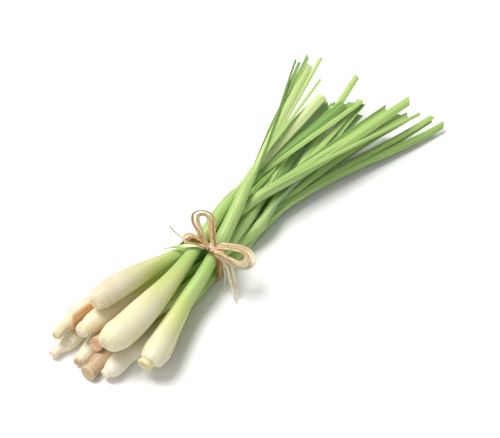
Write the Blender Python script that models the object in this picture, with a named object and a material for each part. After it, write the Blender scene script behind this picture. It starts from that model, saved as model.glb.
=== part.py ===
"""A bunch of lemongrass tied round its middle with raffia.

Ten cut stalks lie in one heap: swollen pale bulbs at -X, green leaf blades cropped
straight across at +X. Each stalk is one solid, with its blades fused to it. A raffia
band and its knot hold them, and the bow's loops and tails are free strands.
Lengths in the tables are millimetres; the model is built in metres, +Z up, on Z = 0.
"""
import math

import bmesh
import bpy
import numpy as np
from mathutils import Vector

MM = 0.001
TIE_AT = (-59.0, 3.7, 0.0)  # where the tie crosses the bunch; it centres the whole on the origin
GAP = 0.7               # clearance kept between neighbouring stalks
TOUCH_GAP = 0.3         # clearance where one piece bears on another
FLAT_DEPTH = 0.7        # how far a bulb is pressed flat where it rests
TIE_LIFT = 2.4          # how far the necks are held off the floor, over the band
LIFT_REACH = 26.0       # how far from the tie that lift fades out

# name: butt (x, y, z), bulb radius, cut end radius, (y, z) in the tie, neck radius,
#       tip (x, y, z), radius of the leaf spray there, blades, turn of the first blade
STALKS = {
    "stalk_front": ((-95, -29, 10.5), 10.5, 4.6, (-11.5, 22), 4.8, (184, 47, 52), 10.5, 6, 206),
    "stalk_brown": ((-118, -1, 8), 6.8, 3.0, (-12.5, 13.5), 3.6, (181, 30, 33), 7.5, 4, 80),
    "stalk_top": ((-107, -10, 28.5), 11.3, 4.4, (-2.5, 23.5), 4.6, (200, 12, 36), 9.0, 5, 30),
    "stalk_low": ((-110, -12, 7.5), 8.6, 4.0, (-8.5, 6.2), 3.8, (239, -53, 9), 8.5, 4, 140),
    "stalk_thin": ((-108, 3, 18), 4.6, 3.2, (-4.5, 13), 3.2, (196, 1, 27), 7.5, 3, 75),
    "stalk_under": ((-116, 11, 5), 6.2, 3.4, (-0.5, 6), 3.5, (173, -2, 9), 8.0, 4, 110),
    "stalk_middle": ((-103, 11, 25), 8.2, 3.8, (3, 13.5), 3.8, (200, -14, 23), 8.5, 4, 20),
    "stalk_upper": ((-95, 14, 36), 10.3, 4.6, (6.5, 22), 4.5, (219, -29, 29), 9.5, 5, 75),
    "stalk_sheathed": ((-116, 26, 17), 6.8, 5.0, (11, 13.5), 3.6, (222, -36, 14), 8.0, 4, 45),
    "stalk_far": ((-121, 24, 5), 6.3, 4.2, (7.5, 6.2), 3.7, (192, 22, 15), 8.5, 4, 80),
}

# Colour of each stalk taken whole, between the ivory of its bulb and its green blades
STALK_COLOURS = {
    "stalk_front": (0.50, 0.62, 0.26), "stalk_brown": (0.47, 0.44, 0.26),
    "stalk_top": (0.62, 0.66, 0.38), "stalk_low": (0.50, 0.60, 0.25),
    "stalk_thin": (0.44, 0.50, 0.25), "stalk_under": (0.50, 0.56, 0.30),
    "stalk_middle": (0.52, 0.58, 0.32), "stalk_upper": (0.60, 0.65, 0.38),
    "stalk_sheathed": (0.60, 0.52, 0.28), "stalk_far": (0.56, 0.60, 0.36),
}
STALK_ROUGHNESS = 0.45
RAFFIA_COLOUR = (0.66, 0.50, 0.27)
RAFFIA_ROUGHNESS = 0.65

# Shape of one stalk
ROUND_END = 17.0        # length over which the cut end swells to the full bulb
BULB_LENGTH = 24.0      # how far from the butt the bulb starts to narrow
SHEATH_OPENS = 64.0     # past the tie, where the outer leaves part from the stem
CORE_STARTS = 110.0     # past the tie, where only the rolled inner leaf is left
CORE_RADIUS = 1.9
LOOSE_RADIUS = 4.5      # radius of every stem once the tie no longer squeezes it
LOOSE_BY = 42.0         # where past the tie it has that radius
CORE_SHARE = 0.86       # share of the spray's length that the rolled leaf reaches
STEM_SIDES = 10
SHARP_FROM = 40.0       # degrees between two faces from which their edge is shaded sharp

# Shape of one blade
BLADE_WIDTH = 8.6
BLADE_THICK = 0.9
BLADE_STATIONS = 7
BASE_SINK = 0.9         # how deep a blade's root lies in the stem
ROOT_FOLD = 62.0        # degrees that each wing turns in at the root
TIP_FOLD = 26.0         # and at the cut tip
TURN_STEP = 137.5       # degrees round the stem from one blade to the next
CROP_STEP = 6.5         # how much shorter each next blade of a spray is

# Torn strips of sheath: the stalk they grow from, half width, and their route from the
# tie, which starts inside that stalk
TORN_STRIPS = {
    "stalk_top": (2.6, [(-5, -3.5, 24.5), (-8.5, 1, 30.5), (-13, 6.5, 32.5), (-18, 12, 32.5),
                        (-24, 17, 31)]),
    "stalk_sheathed": (1.0, [(-6, 13, 14), (-6, 17.5, 24), (-6, 21, 31), (-6, 24.5, 38)]),
}

# Raffia
BAND_WIDTH = 6.4
BAND_THICK = 1.3
KNOT_AT = (0.0, -12.2, 34.8)
KNOT_LEAN = 15.0        # degrees from straight up towards -Y that the knot faces
KNOT_RADIUS = (4.6, 4.0, 2.8)
STRAND = 2.0            # width of one raffia strand
STRAND_POINT = 2.6      # spacing of a strand's points, in widths

# Routes of the free strands, chosen by hand, measured from the tie. Each leaves the
# knot; a loop comes back to it, and a tail ends cut.
STRANDS = {
    "bow_loop_up_outer": [(-1.2, -10.4, 37.8), (-0.8, -5.5, 41.5), (-1.2, -0.5, 47),
                          (-0.5, 4, 53), (2, 5.5, 57.5), (5, 3, 60), (8, -1.5, 60),
                          (9.5, -5.5, 57.5), (8, -8.3, 51.5), (5.8, -9.8, 46), (4, -11, 41.5),
                          (2.7, -11.6, 37.7)],
    "bow_loop_up_inner": [(-3.4, -12.1, 37.8), (-1.8, -8, 43.5), (0, -3, 49.5), (1, 0.5, 54.5),
                          (3, 1.8, 57), (5.5, -0.7, 58.6), (6.8, -3.7, 57.6), (6.2, -5.8, 53.5),
                          (4, -8.3, 48.5), (2, -10.8, 43), (0.3, -13.2, 38.4)],
    "bow_loop_side_outer": [(1.2, -16.6, 34.5), (2, -21.5, 33.2), (1.5, -27.5, 31), (3, -33, 29),
                            (6.5, -38, 28), (11, -39.5, 28), (15, -38, 30), (16, -34, 32.5),
                            (14.5, -29, 34.5), (11, -24, 35.8), (7.5, -18.5, 36.2),
                            (4.8, -14, 35.8)],
    "bow_loop_side_inner": [(-1.4, -16, 36.2), (0, -20.5, 37), (0.5, -25, 36), (1.5, -30.5, 35),
                            (3.5, -35.5, 34.5), (7.5, -37.5, 35), (10.5, -35.5, 36.2),
                            (10, -32, 38), (7, -26.5, 39.2), (4.2, -21, 39.2), (2.3, -15.2, 37)],
    "bow_loop_left": [(-0.6, -7.4, 36.5), (-1, -2.5, 39), (-2.5, 2.5, 40), (-5, 7, 40),
                      (-7, 8.5, 39), (-8.5, 5.5, 38), (-7.5, 0.5, 37.5), (-5.5, -5, 37.2),
                      (-3.6, -8.9, 36.4)],
    "bow_tail_long": [(-1.8, -17.1, 33.7), (-0.7, -21.5, 31.6), (0, -25, 27.5), (-0.3, -28, 22),
                      (-1.5, -30.5, 16), (-3.5, -34, 9.5), (-7.5, -41, 1.6)],
    "bow_tail_middle": [(3.8, -18, 32.4), (3.7, -23, 30), (3.2, -27, 26), (2.4, -30, 20.5),
                        (1, -33, 14), (0, -36, 7.5), (-1.5, -39.5, 1.6)],
    "bow_tail_short": [(1.4, -21.2, 30.2), (1.2, -22.6, 26), (0.4, -23.6, 20), (-0.8, -25, 13),
                       (-2.6, -26, 7), (-6.5, -27.5, 2)],
}

STATION = 5.0           # spacing of the cross-sections in which the bunch is packed
X_LINE = np.arange(-140.0, 246.0, STATION)
SETTLE_STEPS = 1000
CALM_SHARE = 0.6        # share of the steps after which moves are small and local


def ease(t):
    """Smooth step from 0 to 1."""
    t = np.clip(t, 0.0, 1.0)
    return t * t * (3.0 - 2.0 * t)


def bulb_radius(stalk, x):
    """Radius of the round part: an elliptic butt, the bulb, and a taper to the neck."""
    (butt, _, _), bulb, cut, _, neck = stalk[:5]
    along = x - butt
    swell = 1.0 - (1.0 - np.clip(along / ROUND_END, 0.0, 1.0)) ** 2
    full = np.sqrt(cut ** 2 + (bulb ** 2 - cut ** 2) * swell)
    narrow = ease((along - BULB_LENGTH) / (-butt - BULB_LENGTH - 5.0))
    return full * (1.0 - narrow) + neck * narrow


def past_tie_radius(stalk, x):
    """Radius of the sheaths once the tie lets them loosen."""
    neck = stalk[4]
    return neck + (LOOSE_RADIUS - neck) * ease(x / LOOSE_BY)


def sleeve_radius(stalk, x):
    """Radius of the room that a stalk and its blades take up."""
    (tip, _, _), spray = stalk[5:7]
    slim = past_tie_radius(stalk, x)
    spread = slim + (spray - slim) * ease((x - SHEATH_OPENS) / (0.85 * tip - SHEATH_OPENS))
    return np.where(x > 0.0, spread, bulb_radius(stalk, x))


def stem_radius(stalk, x):
    """Radius of the solid stem: bulb and neck, then the rolled inner leaf."""
    slim = past_tie_radius(stalk, x)
    thin = ease((x - SHEATH_OPENS) / (CORE_STARTS - SHEATH_OPENS))
    past = slim * (1.0 - thin) + CORE_RADIUS * thin
    return np.where(x > 0.0, past, bulb_radius(stalk, x))


def hermite(x, x0, x1, y0, y1, m0, m1):
    """Cubic from (x0, y0) to (x1, y1) with slopes m0 and m1."""
    t = np.clip((x - x0) / (x1 - x0), 0.0, 1.0)
    run = x1 - x0
    return ((2 * t ** 3 - 3 * t ** 2 + 1) * y0 + (t ** 3 - 2 * t ** 2 + t) * run * m0
            + (3 * t ** 2 - 2 * t ** 3) * y1 + (t ** 3 - t ** 2) * run * m1)


def drawn_line(stalk, x):
    """Where a stalk would run if it were alone: butt, tie and tip joined smoothly."""
    butt, tie, tip = stalk[0], stalk[3], stalk[5]
    line = np.zeros((len(x), 2))
    for c in range(2):
        before = (tie[c] - butt[c + 1]) / -butt[0]
        after = (tip[c + 1] - tie[c]) / tip[0]
        if c == 0:
            through = (before * tip[0] - after * butt[0]) / (tip[0] - butt[0])
        else:
            through = 0.5 * (before + after)
        head = hermite(x, butt[0], 0.0, butt[c + 1], tie[c], before, through)
        tail = hermite(x, 0.0, tip[0], tie[c], tip[c + 1], through, after)
        line[:, c] = np.where(x < 0.0, head, tail)
    return line


def blur(field, times):
    """Smooth a field along the stalks."""
    for _ in range(times):
        wide = np.pad(field, ((0, 0), (1, 1), (0, 0)), mode="edge")
        field = (wide[:, :-2] + 2.0 * wide[:, 1:-1] + wide[:, 2:]) / 4.0
    return field


def floor_height():
    """What the stalks lie on: the floor, and by the tie the band under them."""
    lift = (TIE_LIFT + FLAT_DEPTH) * (1.0 - ease(np.abs(X_LINE) / LIFT_REACH))
    return lift - FLAT_DEPTH


def settle(stalks):
    """Pack the stalks: neighbours push each other aside, and the floor holds them up.

    Works on cross-sections at X_LINE. A pair's distance is measured square to its
    mean direction. Moves are smoothed along the stalks, which keeps them springy.
    """
    drawn = np.array([drawn_line(s, X_LINE) for s in stalks])
    room = np.array([sleeve_radius(s, X_LINE) for s in stalks])
    there = np.array([(X_LINE >= s[0][0] - STATION) & (X_LINE <= s[5][0] + STATION)
                      for s in stalks])
    first, second = np.triu_indices(len(stalks), 1)
    both = there[first] & there[second]
    need = room[first] + room[second] + GAP
    ground = floor_height()
    place = drawn.copy()
    for step in range(SETTLE_STEPS):
        late = step > CALM_SHARE * SETTLE_STEPS
        slope = np.gradient(place, X_LINE, axis=1)
        mean = 0.5 * (slope[first] + slope[second])
        apart = place[second] - place[first]
        distance = np.sqrt((apart ** 2).sum(-1)) + 1e-9
        heading = apart / distance[..., None]
        lean = (heading * mean).sum(-1) ** 2 / (1.0 + (mean ** 2).sum(-1))
        square = distance * np.sqrt(np.clip(1.0 - lean, 0.2, 1.0))
        push = 0.5 * heading * np.where(both, np.clip(need - square, 0.0, None), 0.0)[..., None]
        move = np.zeros_like(place)
        np.add.at(move, first, -push)
        np.add.at(move, second, push)
        lowest = room * np.sqrt(1.0 + slope[..., 1] ** 2) + ground
        lift = np.clip(lowest - place[..., 1] - move[..., 1], 0.0, None)
        move[..., 1] += np.where(there, lift, 0.0)
        place += 1.2 * blur(move, 2) if late else 1.6 * blur(move, 8)
        bent = place - drawn
        if not late:
            bent = blur(bent, 1)
        if step < 0.5 * SETTLE_STEPS:
            bent *= 0.99
        place = drawn + bent
        if late:
            slope = np.gradient(place[..., 1], X_LINE, axis=1)
            lowest = room * np.sqrt(1.0 + slope ** 2) + ground
            place[..., 1] = np.where(there, np.maximum(place[..., 1], lowest), place[..., 1])
    return place


def on_line(place, x):
    """Points of a settled centre line at the places x, and its unit tangents."""
    slopes = np.gradient(place, X_LINE, axis=0)
    i = np.clip(((x - X_LINE[0]) / STATION).astype(int), 0, len(X_LINE) - 2)
    t = ((x - X_LINE[i]) / STATION)[:, None]
    a, b = place[i], place[i + 1]
    ma, mb = slopes[i] * STATION, slopes[i + 1] * STATION
    yz = ((2 * t ** 3 - 3 * t ** 2 + 1) * a + (t ** 3 - 2 * t ** 2 + t) * ma
          + (3 * t ** 2 - 2 * t ** 3) * b + (t ** 3 - t ** 2) * mb)
    d = ((6 * t ** 2 - 6 * t) * (a - b) + (3 * t ** 2 - 4 * t + 1) * ma
         + (3 * t ** 2 - 2 * t) * mb) / STATION
    points = np.column_stack([x, yz])
    tangents = np.column_stack([np.ones(len(x)), d])
    return points, tangents / np.linalg.norm(tangents, axis=1, keepdims=True)


def frames(tangents):
    """Side and up directions square to each tangent, with the side one level."""
    side = np.cross([0.0, 0.0, 1.0], tangents)
    side /= np.linalg.norm(side, axis=1, keepdims=True)
    return side, np.cross(tangents, side)


def direction(turn, side, up):
    """Unit directions at an angle round the stem, in degrees from its side."""
    turn = np.radians(turn)[:, None]
    return np.cos(turn) * side + np.sin(turn) * up


def from_tie(point):
    """A point measured from the tie in millimetres, as the model's own, in metres."""
    return (Vector(point) + Vector(TIE_AT)) * MM


def add_object(name, data):
    obj = bpy.data.objects.new(name, data)
    bpy.context.scene.collection.objects.link(obj)
    return obj


def rings_to_object(name, rings):
    """Closed solid from a row of rings of points, each ring the same number long."""
    count, sides, _ = rings.shape
    mesh = bpy.data.meshes.new(name)
    bm = bmesh.new()
    verts = [[bm.verts.new(from_tie(p)) for p in ring] for ring in rings]
    for i in range(count - 1):
        for j in range(sides):
            k = (j + 1) % sides
            quad = (verts[i][j], verts[i + 1][j], verts[i + 1][k], verts[i][k])
            bm.faces.new(quad[:3])
            bm.faces.new((quad[0], quad[2], quad[3]))
    bm.faces.new(verts[0])
    bm.faces.new(verts[-1][::-1])
    bmesh.ops.recalc_face_normals(bm, faces=bm.faces)
    bm.to_mesh(mesh)
    bm.free()
    return add_object(name, mesh)


def make_material(name, colour, roughness):
    mat = bpy.data.materials.new(name)
    mat.use_nodes = True
    shader = mat.node_tree.nodes["Principled BSDF"]
    shader.inputs["Base Color"].default_value = (*colour, 1.0)
    shader.inputs["Roughness"].default_value = roughness
    shader.inputs["Metallic"].default_value = 0.0
    return mat


def make_stem(name, stalk, place):
    """Bulb, neck and rolled inner leaf as one round rod."""
    butt, tip = stalk[0][0], stalk[5][0]
    rod = np.concatenate([
        butt + np.array([0.0, 1.2, 4.5, 10.0, 17.0, 28.0, 42.0, 58.0]),
        [-24.0, -10.0, 0.0, 10.0, 24.0, 38.0, 52.0, SHEATH_OPENS, 82.0, CORE_STARTS],
        np.linspace(CORE_STARTS, CORE_SHARE * tip, 3)[1:]])
    points, tangents = on_line(place, rod)
    side, up = frames(tangents)
    radius = stem_radius(stalk, rod)
    turn = np.arange(STEM_SIDES) * 2.0 * math.pi / STEM_SIDES
    rings = (points[:, None] + radius[:, None, None]
             * (np.cos(turn)[None, :, None] * side[:, None] + np.sin(turn)[None, :, None]
                * up[:, None]))
    rings[..., 2] = np.maximum(rings[..., 2], 0.0)
    return rings_to_object(name, rings)


def blade_rings(stalk, place, index):
    """Cross-sections of one blade: a shallow V that opens towards the stem.

    Its root lies in the stem and faces outwards. From there its midrib drifts out
    towards the edge of the spray, and the blade twists to lie nearly flat.
    """
    blades, first_turn = stalk[7], stalk[8]
    start = SHEATH_OPENS - 26.0 + 14.0 * index
    end = stalk[5][0] - CROP_STEP * ((index * 3) % blades)
    x = np.linspace(start, end, BLADE_STATIONS)
    points, tangents = on_line(place, x)
    side, up = frames(tangents)
    along = (x - start) / (end - start)
    half = 0.5 * BLADE_WIDTH * (0.72 + 0.28 * ease(along / 0.4))
    turn = first_turn + TURN_STEP * index + 15.0 * along
    flat = np.where(np.sin(np.radians(turn)) > -0.3, 90.0, -90.0) + 16.0 * (index % 3 - 1)
    twist = ((flat - turn + 180.0) % 360.0 - 180.0) * ease((along - 0.15) / 0.6)
    out = direction(turn, side, up)
    face = direction(turn + twist, side, up)
    across = direction(turn + twist + 90.0, side, up)
    root = stem_radius(stalk, x) - BASE_SINK
    rim = sleeve_radius(stalk, x) - 0.6 * BLADE_THICK - half * np.abs(np.sin(np.radians(twist)))
    leave = ease((along - 0.08) / 0.8) * (1.0 - 0.12 * (index % 3))
    reach = (root * (1.0 - leave) + np.maximum(rim, 1.0) * leave)[:, None]
    fold = np.radians(ROOT_FOLD + (TIP_FOLD - ROOT_FOLD) * ease(along / 0.5))[:, None]
    half = half[:, None]
    rib = points + reach * out
    thick = 0.5 * BLADE_THICK
    left = rib + half * (np.cos(fold) * across - np.sin(fold) * face)
    right = rib - half * (np.cos(fold) * across + np.sin(fold) * face)
    left_face = np.cos(fold) * face + np.sin(fold) * across
    right_face = np.cos(fold) * face - np.sin(fold) * across
    rings = np.stack([rib + thick * face, left + thick * left_face,
                      left - thick * left_face, rib - thick / np.cos(fold) * face,
                      right - thick * right_face, right + thick * right_face], axis=1)
    rings[..., 2] = np.maximum(rings[..., 2], 0.0)
    return rings


def fuse(obj, others):
    """Union of an object with others, which are then removed.

    The blades' roots cross each other inside the stem at small angles, where the exact
    solver leaves edges shared by four faces, so this union is the manifold one.
    """
    group = bpy.data.collections.new("fuse")
    for other in others:
        group.objects.link(other)
    union = obj.modifiers.new("union", "BOOLEAN")
    union.operation = "UNION"
    union.operand_type = "COLLECTION"
    union.collection = group
    union.solver = "MANIFOLD"
    graph = bpy.context.evaluated_depsgraph_get()
    mesh = bpy.data.meshes.new_from_object(obj.evaluated_get(graph))
    obj.modifiers.clear()
    obj.data = mesh
    for other in others:
        bpy.data.objects.remove(other, do_unlink=True)
    bpy.data.collections.remove(group)
    keep_outer_body(obj)


def keep_outer_body(obj):
    """Drop loose scraps and sealed hollows: only the largest shell stays."""
    bm = bmesh.new()
    bm.from_mesh(obj.data)
    bmesh.ops.triangulate(bm, faces=bm.faces)
    left = set(bm.faces)
    shells = []
    while left:
        stack = [left.pop()]
        shell = set(stack)
        while stack:
            for edge in stack.pop().edges:
                for face in edge.link_faces:
                    if face in left:
                        left.discard(face)
                        shell.add(face)
                        stack.append(face)
        shells.append(shell)
    largest = max(shells, key=lambda s: sum(f.calc_area() for f in s))
    bmesh.ops.delete(bm, geom=[f for f in bm.faces if f not in largest], context="FACES")
    bm.to_mesh(obj.data)
    bm.free()


def convex_outline(points):
    """Convex hull of plane points, anticlockwise (monotone chain)."""
    points = sorted(map(tuple, points))

    def half(run):
        chain = []
        for p in run:
            while len(chain) > 1:
                (ax, ay), (bx, by) = chain[-2:]
                if (bx - ax) * (p[1] - ay) - (by - ay) * (p[0] - ax) > 0.0:
                    break
                chain.pop()
            chain.append(p)
        return chain[:-1]
    return np.array(half(points) + half(points[::-1]))


def even_loop(outline, count):
    """The closed outline at evenly spaced points, with its outward normals."""
    closed = np.vstack([outline, outline[:1]])
    run = np.concatenate([[0.0], np.cumsum(np.linalg.norm(np.diff(closed, axis=0), axis=1))])
    at = np.linspace(0.0, run[-1], count, endpoint=False)
    loop = np.column_stack([np.interp(at, run, closed[:, c]) for c in range(2)])
    along = np.roll(loop, -1, axis=0) - np.roll(loop, 1, axis=0)
    normals = np.column_stack([along[:, 1], -along[:, 0]])
    return loop, normals / np.linalg.norm(normals, axis=1, keepdims=True)


def tie_outline(stalks, places):
    """What a thread pulled tight round the necks follows, just clear of them."""
    dots = []
    turn = np.linspace(0.0, 2.0 * math.pi, 48, endpoint=False)
    for stalk, place in zip(stalks, places):
        for x in np.linspace(-0.6 * BAND_WIDTH, 0.6 * BAND_WIDTH, 5):
            points, tangents = on_line(place, np.array([x]))
            side, up = frames(tangents)
            reach = stem_radius(stalk, np.array([x]))[0] + TOUCH_GAP
            ring = points + reach * (np.cos(turn)[:, None] * side + np.sin(turn)[:, None] * up)
            dots.append(ring[:, 1:])
    return convex_outline(np.vstack(dots))


def make_band(outline):
    """The raffia wound round the necks: two rounded wraps side by side."""
    loop, normals = even_loop(outline, 44)
    wide, thick = BAND_WIDTH / 2.0, BAND_THICK
    profile = [(-wide, 0.0), (-wide, 0.6 * thick), (-0.5 * wide, thick), (0.0, 0.65 * thick),
               (0.5 * wide, thick), (wide, 0.6 * thick), (wide, 0.0)]
    mesh = bpy.data.meshes.new("raffia_band")
    bm = bmesh.new()
    verts = [[bm.verts.new(from_tie((x, *(point + out * normal)))) for x, out in profile]
             for point, normal in zip(loop, normals)]
    for i, ring in enumerate(verts):
        after = verts[(i + 1) % len(verts)]
        for j in range(len(profile)):
            k = (j + 1) % len(profile)
            bm.faces.new((ring[j], after[j], after[k], ring[k]))
    bmesh.ops.triangulate(bm, faces=bm.faces)
    bmesh.ops.recalc_face_normals(bm, faces=bm.faces)
    bm.to_mesh(mesh)
    bm.free()
    return add_object("raffia_band", mesh)


def make_knot():
    """The knot: a squashed ball pressed onto the band."""
    lean = math.radians(KNOT_LEAN)
    outward = np.array([0.0, -math.sin(lean), math.cos(lean)])
    across = np.array([0.0, math.cos(lean), math.sin(lean)])
    axes = np.array([[1.0, 0.0, 0.0], across, outward]) * np.array(KNOT_RADIUS)[:, None]
    bm = bmesh.new()
    bmesh.ops.create_icosphere(bm, subdivisions=2, radius=1.0)
    for v in bm.verts:
        v.co = from_tie(np.array(KNOT_AT) + np.array(v.co) @ axes)
    bmesh.ops.recalc_face_normals(bm, faces=bm.faces)
    mesh = bpy.data.meshes.new("knot")
    bm.to_mesh(mesh)
    bm.free()
    return add_object("knot", mesh)


def smooth_route(points, spacing):
    """Evenly spaced points on a smooth curve through the route's own points."""
    p = np.array(points, dtype=float)
    p = np.vstack([2.0 * p[0] - p[1], p, 2.0 * p[-1] - p[-2]])
    t = np.linspace(0.0, 1.0, 20, endpoint=False)[:, None]
    runs = []
    for a, b, c, d in zip(p, p[1:], p[2:], p[3:]):
        runs.append(0.5 * (2.0 * b + (c - a) * t + (2.0 * a - 5.0 * b + 4.0 * c - d) * t ** 2
                           + (3.0 * b - 3.0 * c + d - a) * t ** 3))
    fine = np.vstack(runs + [p[-2:-1]])
    run = np.concatenate([[0.0], np.cumsum(np.linalg.norm(np.diff(fine, axis=0), axis=1))])
    at = np.linspace(0.0, run[-1], max(4, round(run[-1] / spacing)) + 1)
    return np.column_stack([np.interp(at, run, fine[:, c]) for c in range(3)])


def make_strand(name, route):
    """One free raffia strand as a round tube with filled ends."""
    curve = bpy.data.curves.new(name, "CURVE")
    curve.dimensions = "3D"
    curve.bevel_depth = 0.5 * STRAND * MM
    curve.bevel_resolution = 2
    curve.use_fill_caps = True
    points = smooth_route(route, STRAND_POINT * STRAND)
    spline = curve.splines.new("POLY")
    spline.points.add(len(points) - 1)
    for slot, point in zip(spline.points, points):
        slot.co = (*from_tie(point), 1.0)
    return add_object(name, curve)


def make_strip(half, route):
    """A torn strip: a thin flat ribbon that narrows to a point."""
    points = smooth_route(route, 7.0)
    tangents = np.gradient(points, axis=0)
    tangents /= np.linalg.norm(tangents, axis=1, keepdims=True)
    level = np.cross(tangents, [1.0, 1.0, 0.0] if half < 2.0 else [0.0, 0.0, 1.0])
    level /= np.linalg.norm(level, axis=1, keepdims=True)
    face = np.cross(level, tangents)
    along = np.linspace(0.0, 1.0, len(points))[:, None]
    width = half * (1.0 - 0.8 * ease((along - 0.45) / 0.55))
    thick = 0.5 * BLADE_THICK
    rings = np.stack([points + width * level + thick * face,
                      points - width * level + thick * face,
                      points - width * level - thick * face,
                      points + width * level - thick * face], axis=1)
    return rings_to_object("strip", rings)


def finish(obj, material):
    """Give a fused piece its one material and smooth shading."""
    obj.data.materials.clear()
    obj.data.materials.append(material)
    obj.data.shade_smooth()
    obj.data.set_sharp_from_angle(angle=math.radians(SHARP_FROM))


def main():
    for obj in list(bpy.data.objects):
        bpy.data.objects.remove(obj, do_unlink=True)
    stalks = list(STALKS.values())
    places = settle(stalks)
    for (name, stalk), place in zip(STALKS.items(), places):
        stem = make_stem(name, stalk, place)
        blades = [rings_to_object(f"blade_{i}", blade_rings(stalk, place, i))
                  for i in range(stalk[7])]
        if name in TORN_STRIPS:
            blades.append(make_strip(*TORN_STRIPS[name]))
        fuse(stem, blades)
        finish(stem, make_material(name, STALK_COLOURS[name], STALK_ROUGHNESS))
    raffia = make_material("raffia", RAFFIA_COLOUR, RAFFIA_ROUGHNESS)
    band = make_band(tie_outline(stalks, places))
    fuse(band, [make_knot()])
    finish(band, raffia)
    for name, route in STRANDS.items():
        make_strand(name, route).data.materials.append(raffia)


main()
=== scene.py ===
"""The looks of a bunch of lemongrass tied with raffia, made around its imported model.

Shapes are worked out in millimetres measured from the tie, where the band crosses the
bunch, and `metres` turns them into the model's own frame just before a mesh is made.
"""
import math
from collections import namedtuple

import bpy
import numpy as np
from mathutils import Matrix, Vector


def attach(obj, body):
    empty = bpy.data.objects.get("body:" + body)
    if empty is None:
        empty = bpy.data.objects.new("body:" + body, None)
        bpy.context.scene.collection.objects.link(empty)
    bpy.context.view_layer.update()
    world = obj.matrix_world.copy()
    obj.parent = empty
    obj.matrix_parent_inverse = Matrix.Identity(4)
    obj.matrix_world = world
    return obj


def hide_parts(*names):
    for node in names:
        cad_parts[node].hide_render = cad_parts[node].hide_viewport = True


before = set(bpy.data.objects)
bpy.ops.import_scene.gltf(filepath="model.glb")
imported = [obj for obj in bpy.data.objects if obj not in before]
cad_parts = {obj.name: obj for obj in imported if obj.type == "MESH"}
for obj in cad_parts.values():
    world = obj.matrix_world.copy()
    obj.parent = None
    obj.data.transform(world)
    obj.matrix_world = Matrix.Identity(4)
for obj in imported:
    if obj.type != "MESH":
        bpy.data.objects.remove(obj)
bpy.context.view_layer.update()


# ---------------------------------------------------------------------------------------
# Floor, light and camera: the bunch lies on a matt white board in soft daylight, which a
# broad sun behind it, a square lamp on the left and a pale sky make. The camera looks down
# on it over its bulbs.
# ---------------------------------------------------------------------------------------
FLOOR_SIZE = 6.0
FLOOR_WHITE = (0.95, 0.95, 0.955)
FLOOR_ROUGHNESS = 0.9

floor_mesh = bpy.data.meshes.new("floor")
edge = 0.5 * FLOOR_SIZE
floor_mesh.from_pydata([(-edge, -edge, 0), (edge, -edge, 0), (edge, edge, 0), (-edge, edge, 0)],
                       [], [(0, 1, 2, 3)])
floor = bpy.data.objects.new("floor", floor_mesh)
bpy.context.scene.collection.objects.link(floor)
floor_paint = bpy.data.materials.new("floor_white")
floor_paint.use_nodes = True
floor_shader = floor_paint.node_tree.nodes["Principled BSDF"]
floor_shader.inputs["Base Color"].default_value = (*FLOOR_WHITE, 1.0)
floor_shader.inputs["Roughness"].default_value = FLOOR_ROUGHNESS
floor_mesh.materials.append(floor_paint)


def add_light(name, kind, place, size, strength, colour):
    """A light at a place in metres, facing the bunch: a square lamp with a side of `size`,
    or a broad sun that spans `size` degrees."""
    lamp = bpy.data.lights.new(name, kind)
    lamp.energy, lamp.color = strength, colour
    if kind == "SUN":
        lamp.angle = math.radians(size)
    else:
        lamp.size = size
    light = bpy.data.objects.new(name, lamp)
    light.location = place
    light.rotation_euler = (-Vector(place)).to_track_quat("-Z", "Y").to_euler()
    bpy.context.scene.collection.objects.link(light)


add_light("window", "SUN", place=(-0.14, 0.60, 1.65), size=28.0, strength=2.75,
          colour=(1.0, 0.99, 0.97))
add_light("left_fill", "AREA", place=(-1.2, -0.2, 1.5), size=1.2, strength=6.0,
          colour=(1.0, 1.0, 1.0))

SKY_STRENGTH = 0.28
world = bpy.data.worlds.new("daylight")
bpy.context.scene.world = world
world.use_nodes = True
sky = world.node_tree.nodes["Background"]
sky.inputs["Color"].default_value = (1.0, 1.0, 1.0, 1.0)
sky.inputs["Strength"].default_value = SKY_STRENGTH
bpy.context.scene.view_settings.view_transform = "Standard"

CAMERA_AT = Vector((-0.3797, -0.3132, 0.5935))
CAMERA_AZIMUTH, CAMERA_ELEVATION = math.radians(-50.0), math.radians(50.0)
LENS, SENSOR = 72.36, 36.0
NEAREST = 0.01

camera_data = bpy.data.cameras.new("camera")
camera_data.lens, camera_data.sensor_width = LENS, SENSOR
camera_data.clip_start = NEAREST
camera = bpy.data.objects.new("camera", camera_data)
right = Vector((math.cos(CAMERA_AZIMUTH), math.sin(CAMERA_AZIMUTH), 0.0))
back = Vector((math.sin(CAMERA_AZIMUTH) * math.cos(CAMERA_ELEVATION),
               -math.cos(CAMERA_AZIMUTH) * math.cos(CAMERA_ELEVATION),
               math.sin(CAMERA_ELEVATION)))
camera.matrix_world = (Matrix.Translation(CAMERA_AT)
                       @ Matrix((right, back.cross(right), back)).transposed().to_4x4())
bpy.context.scene.collection.objects.link(camera)
bpy.context.scene.camera = camera


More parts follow.
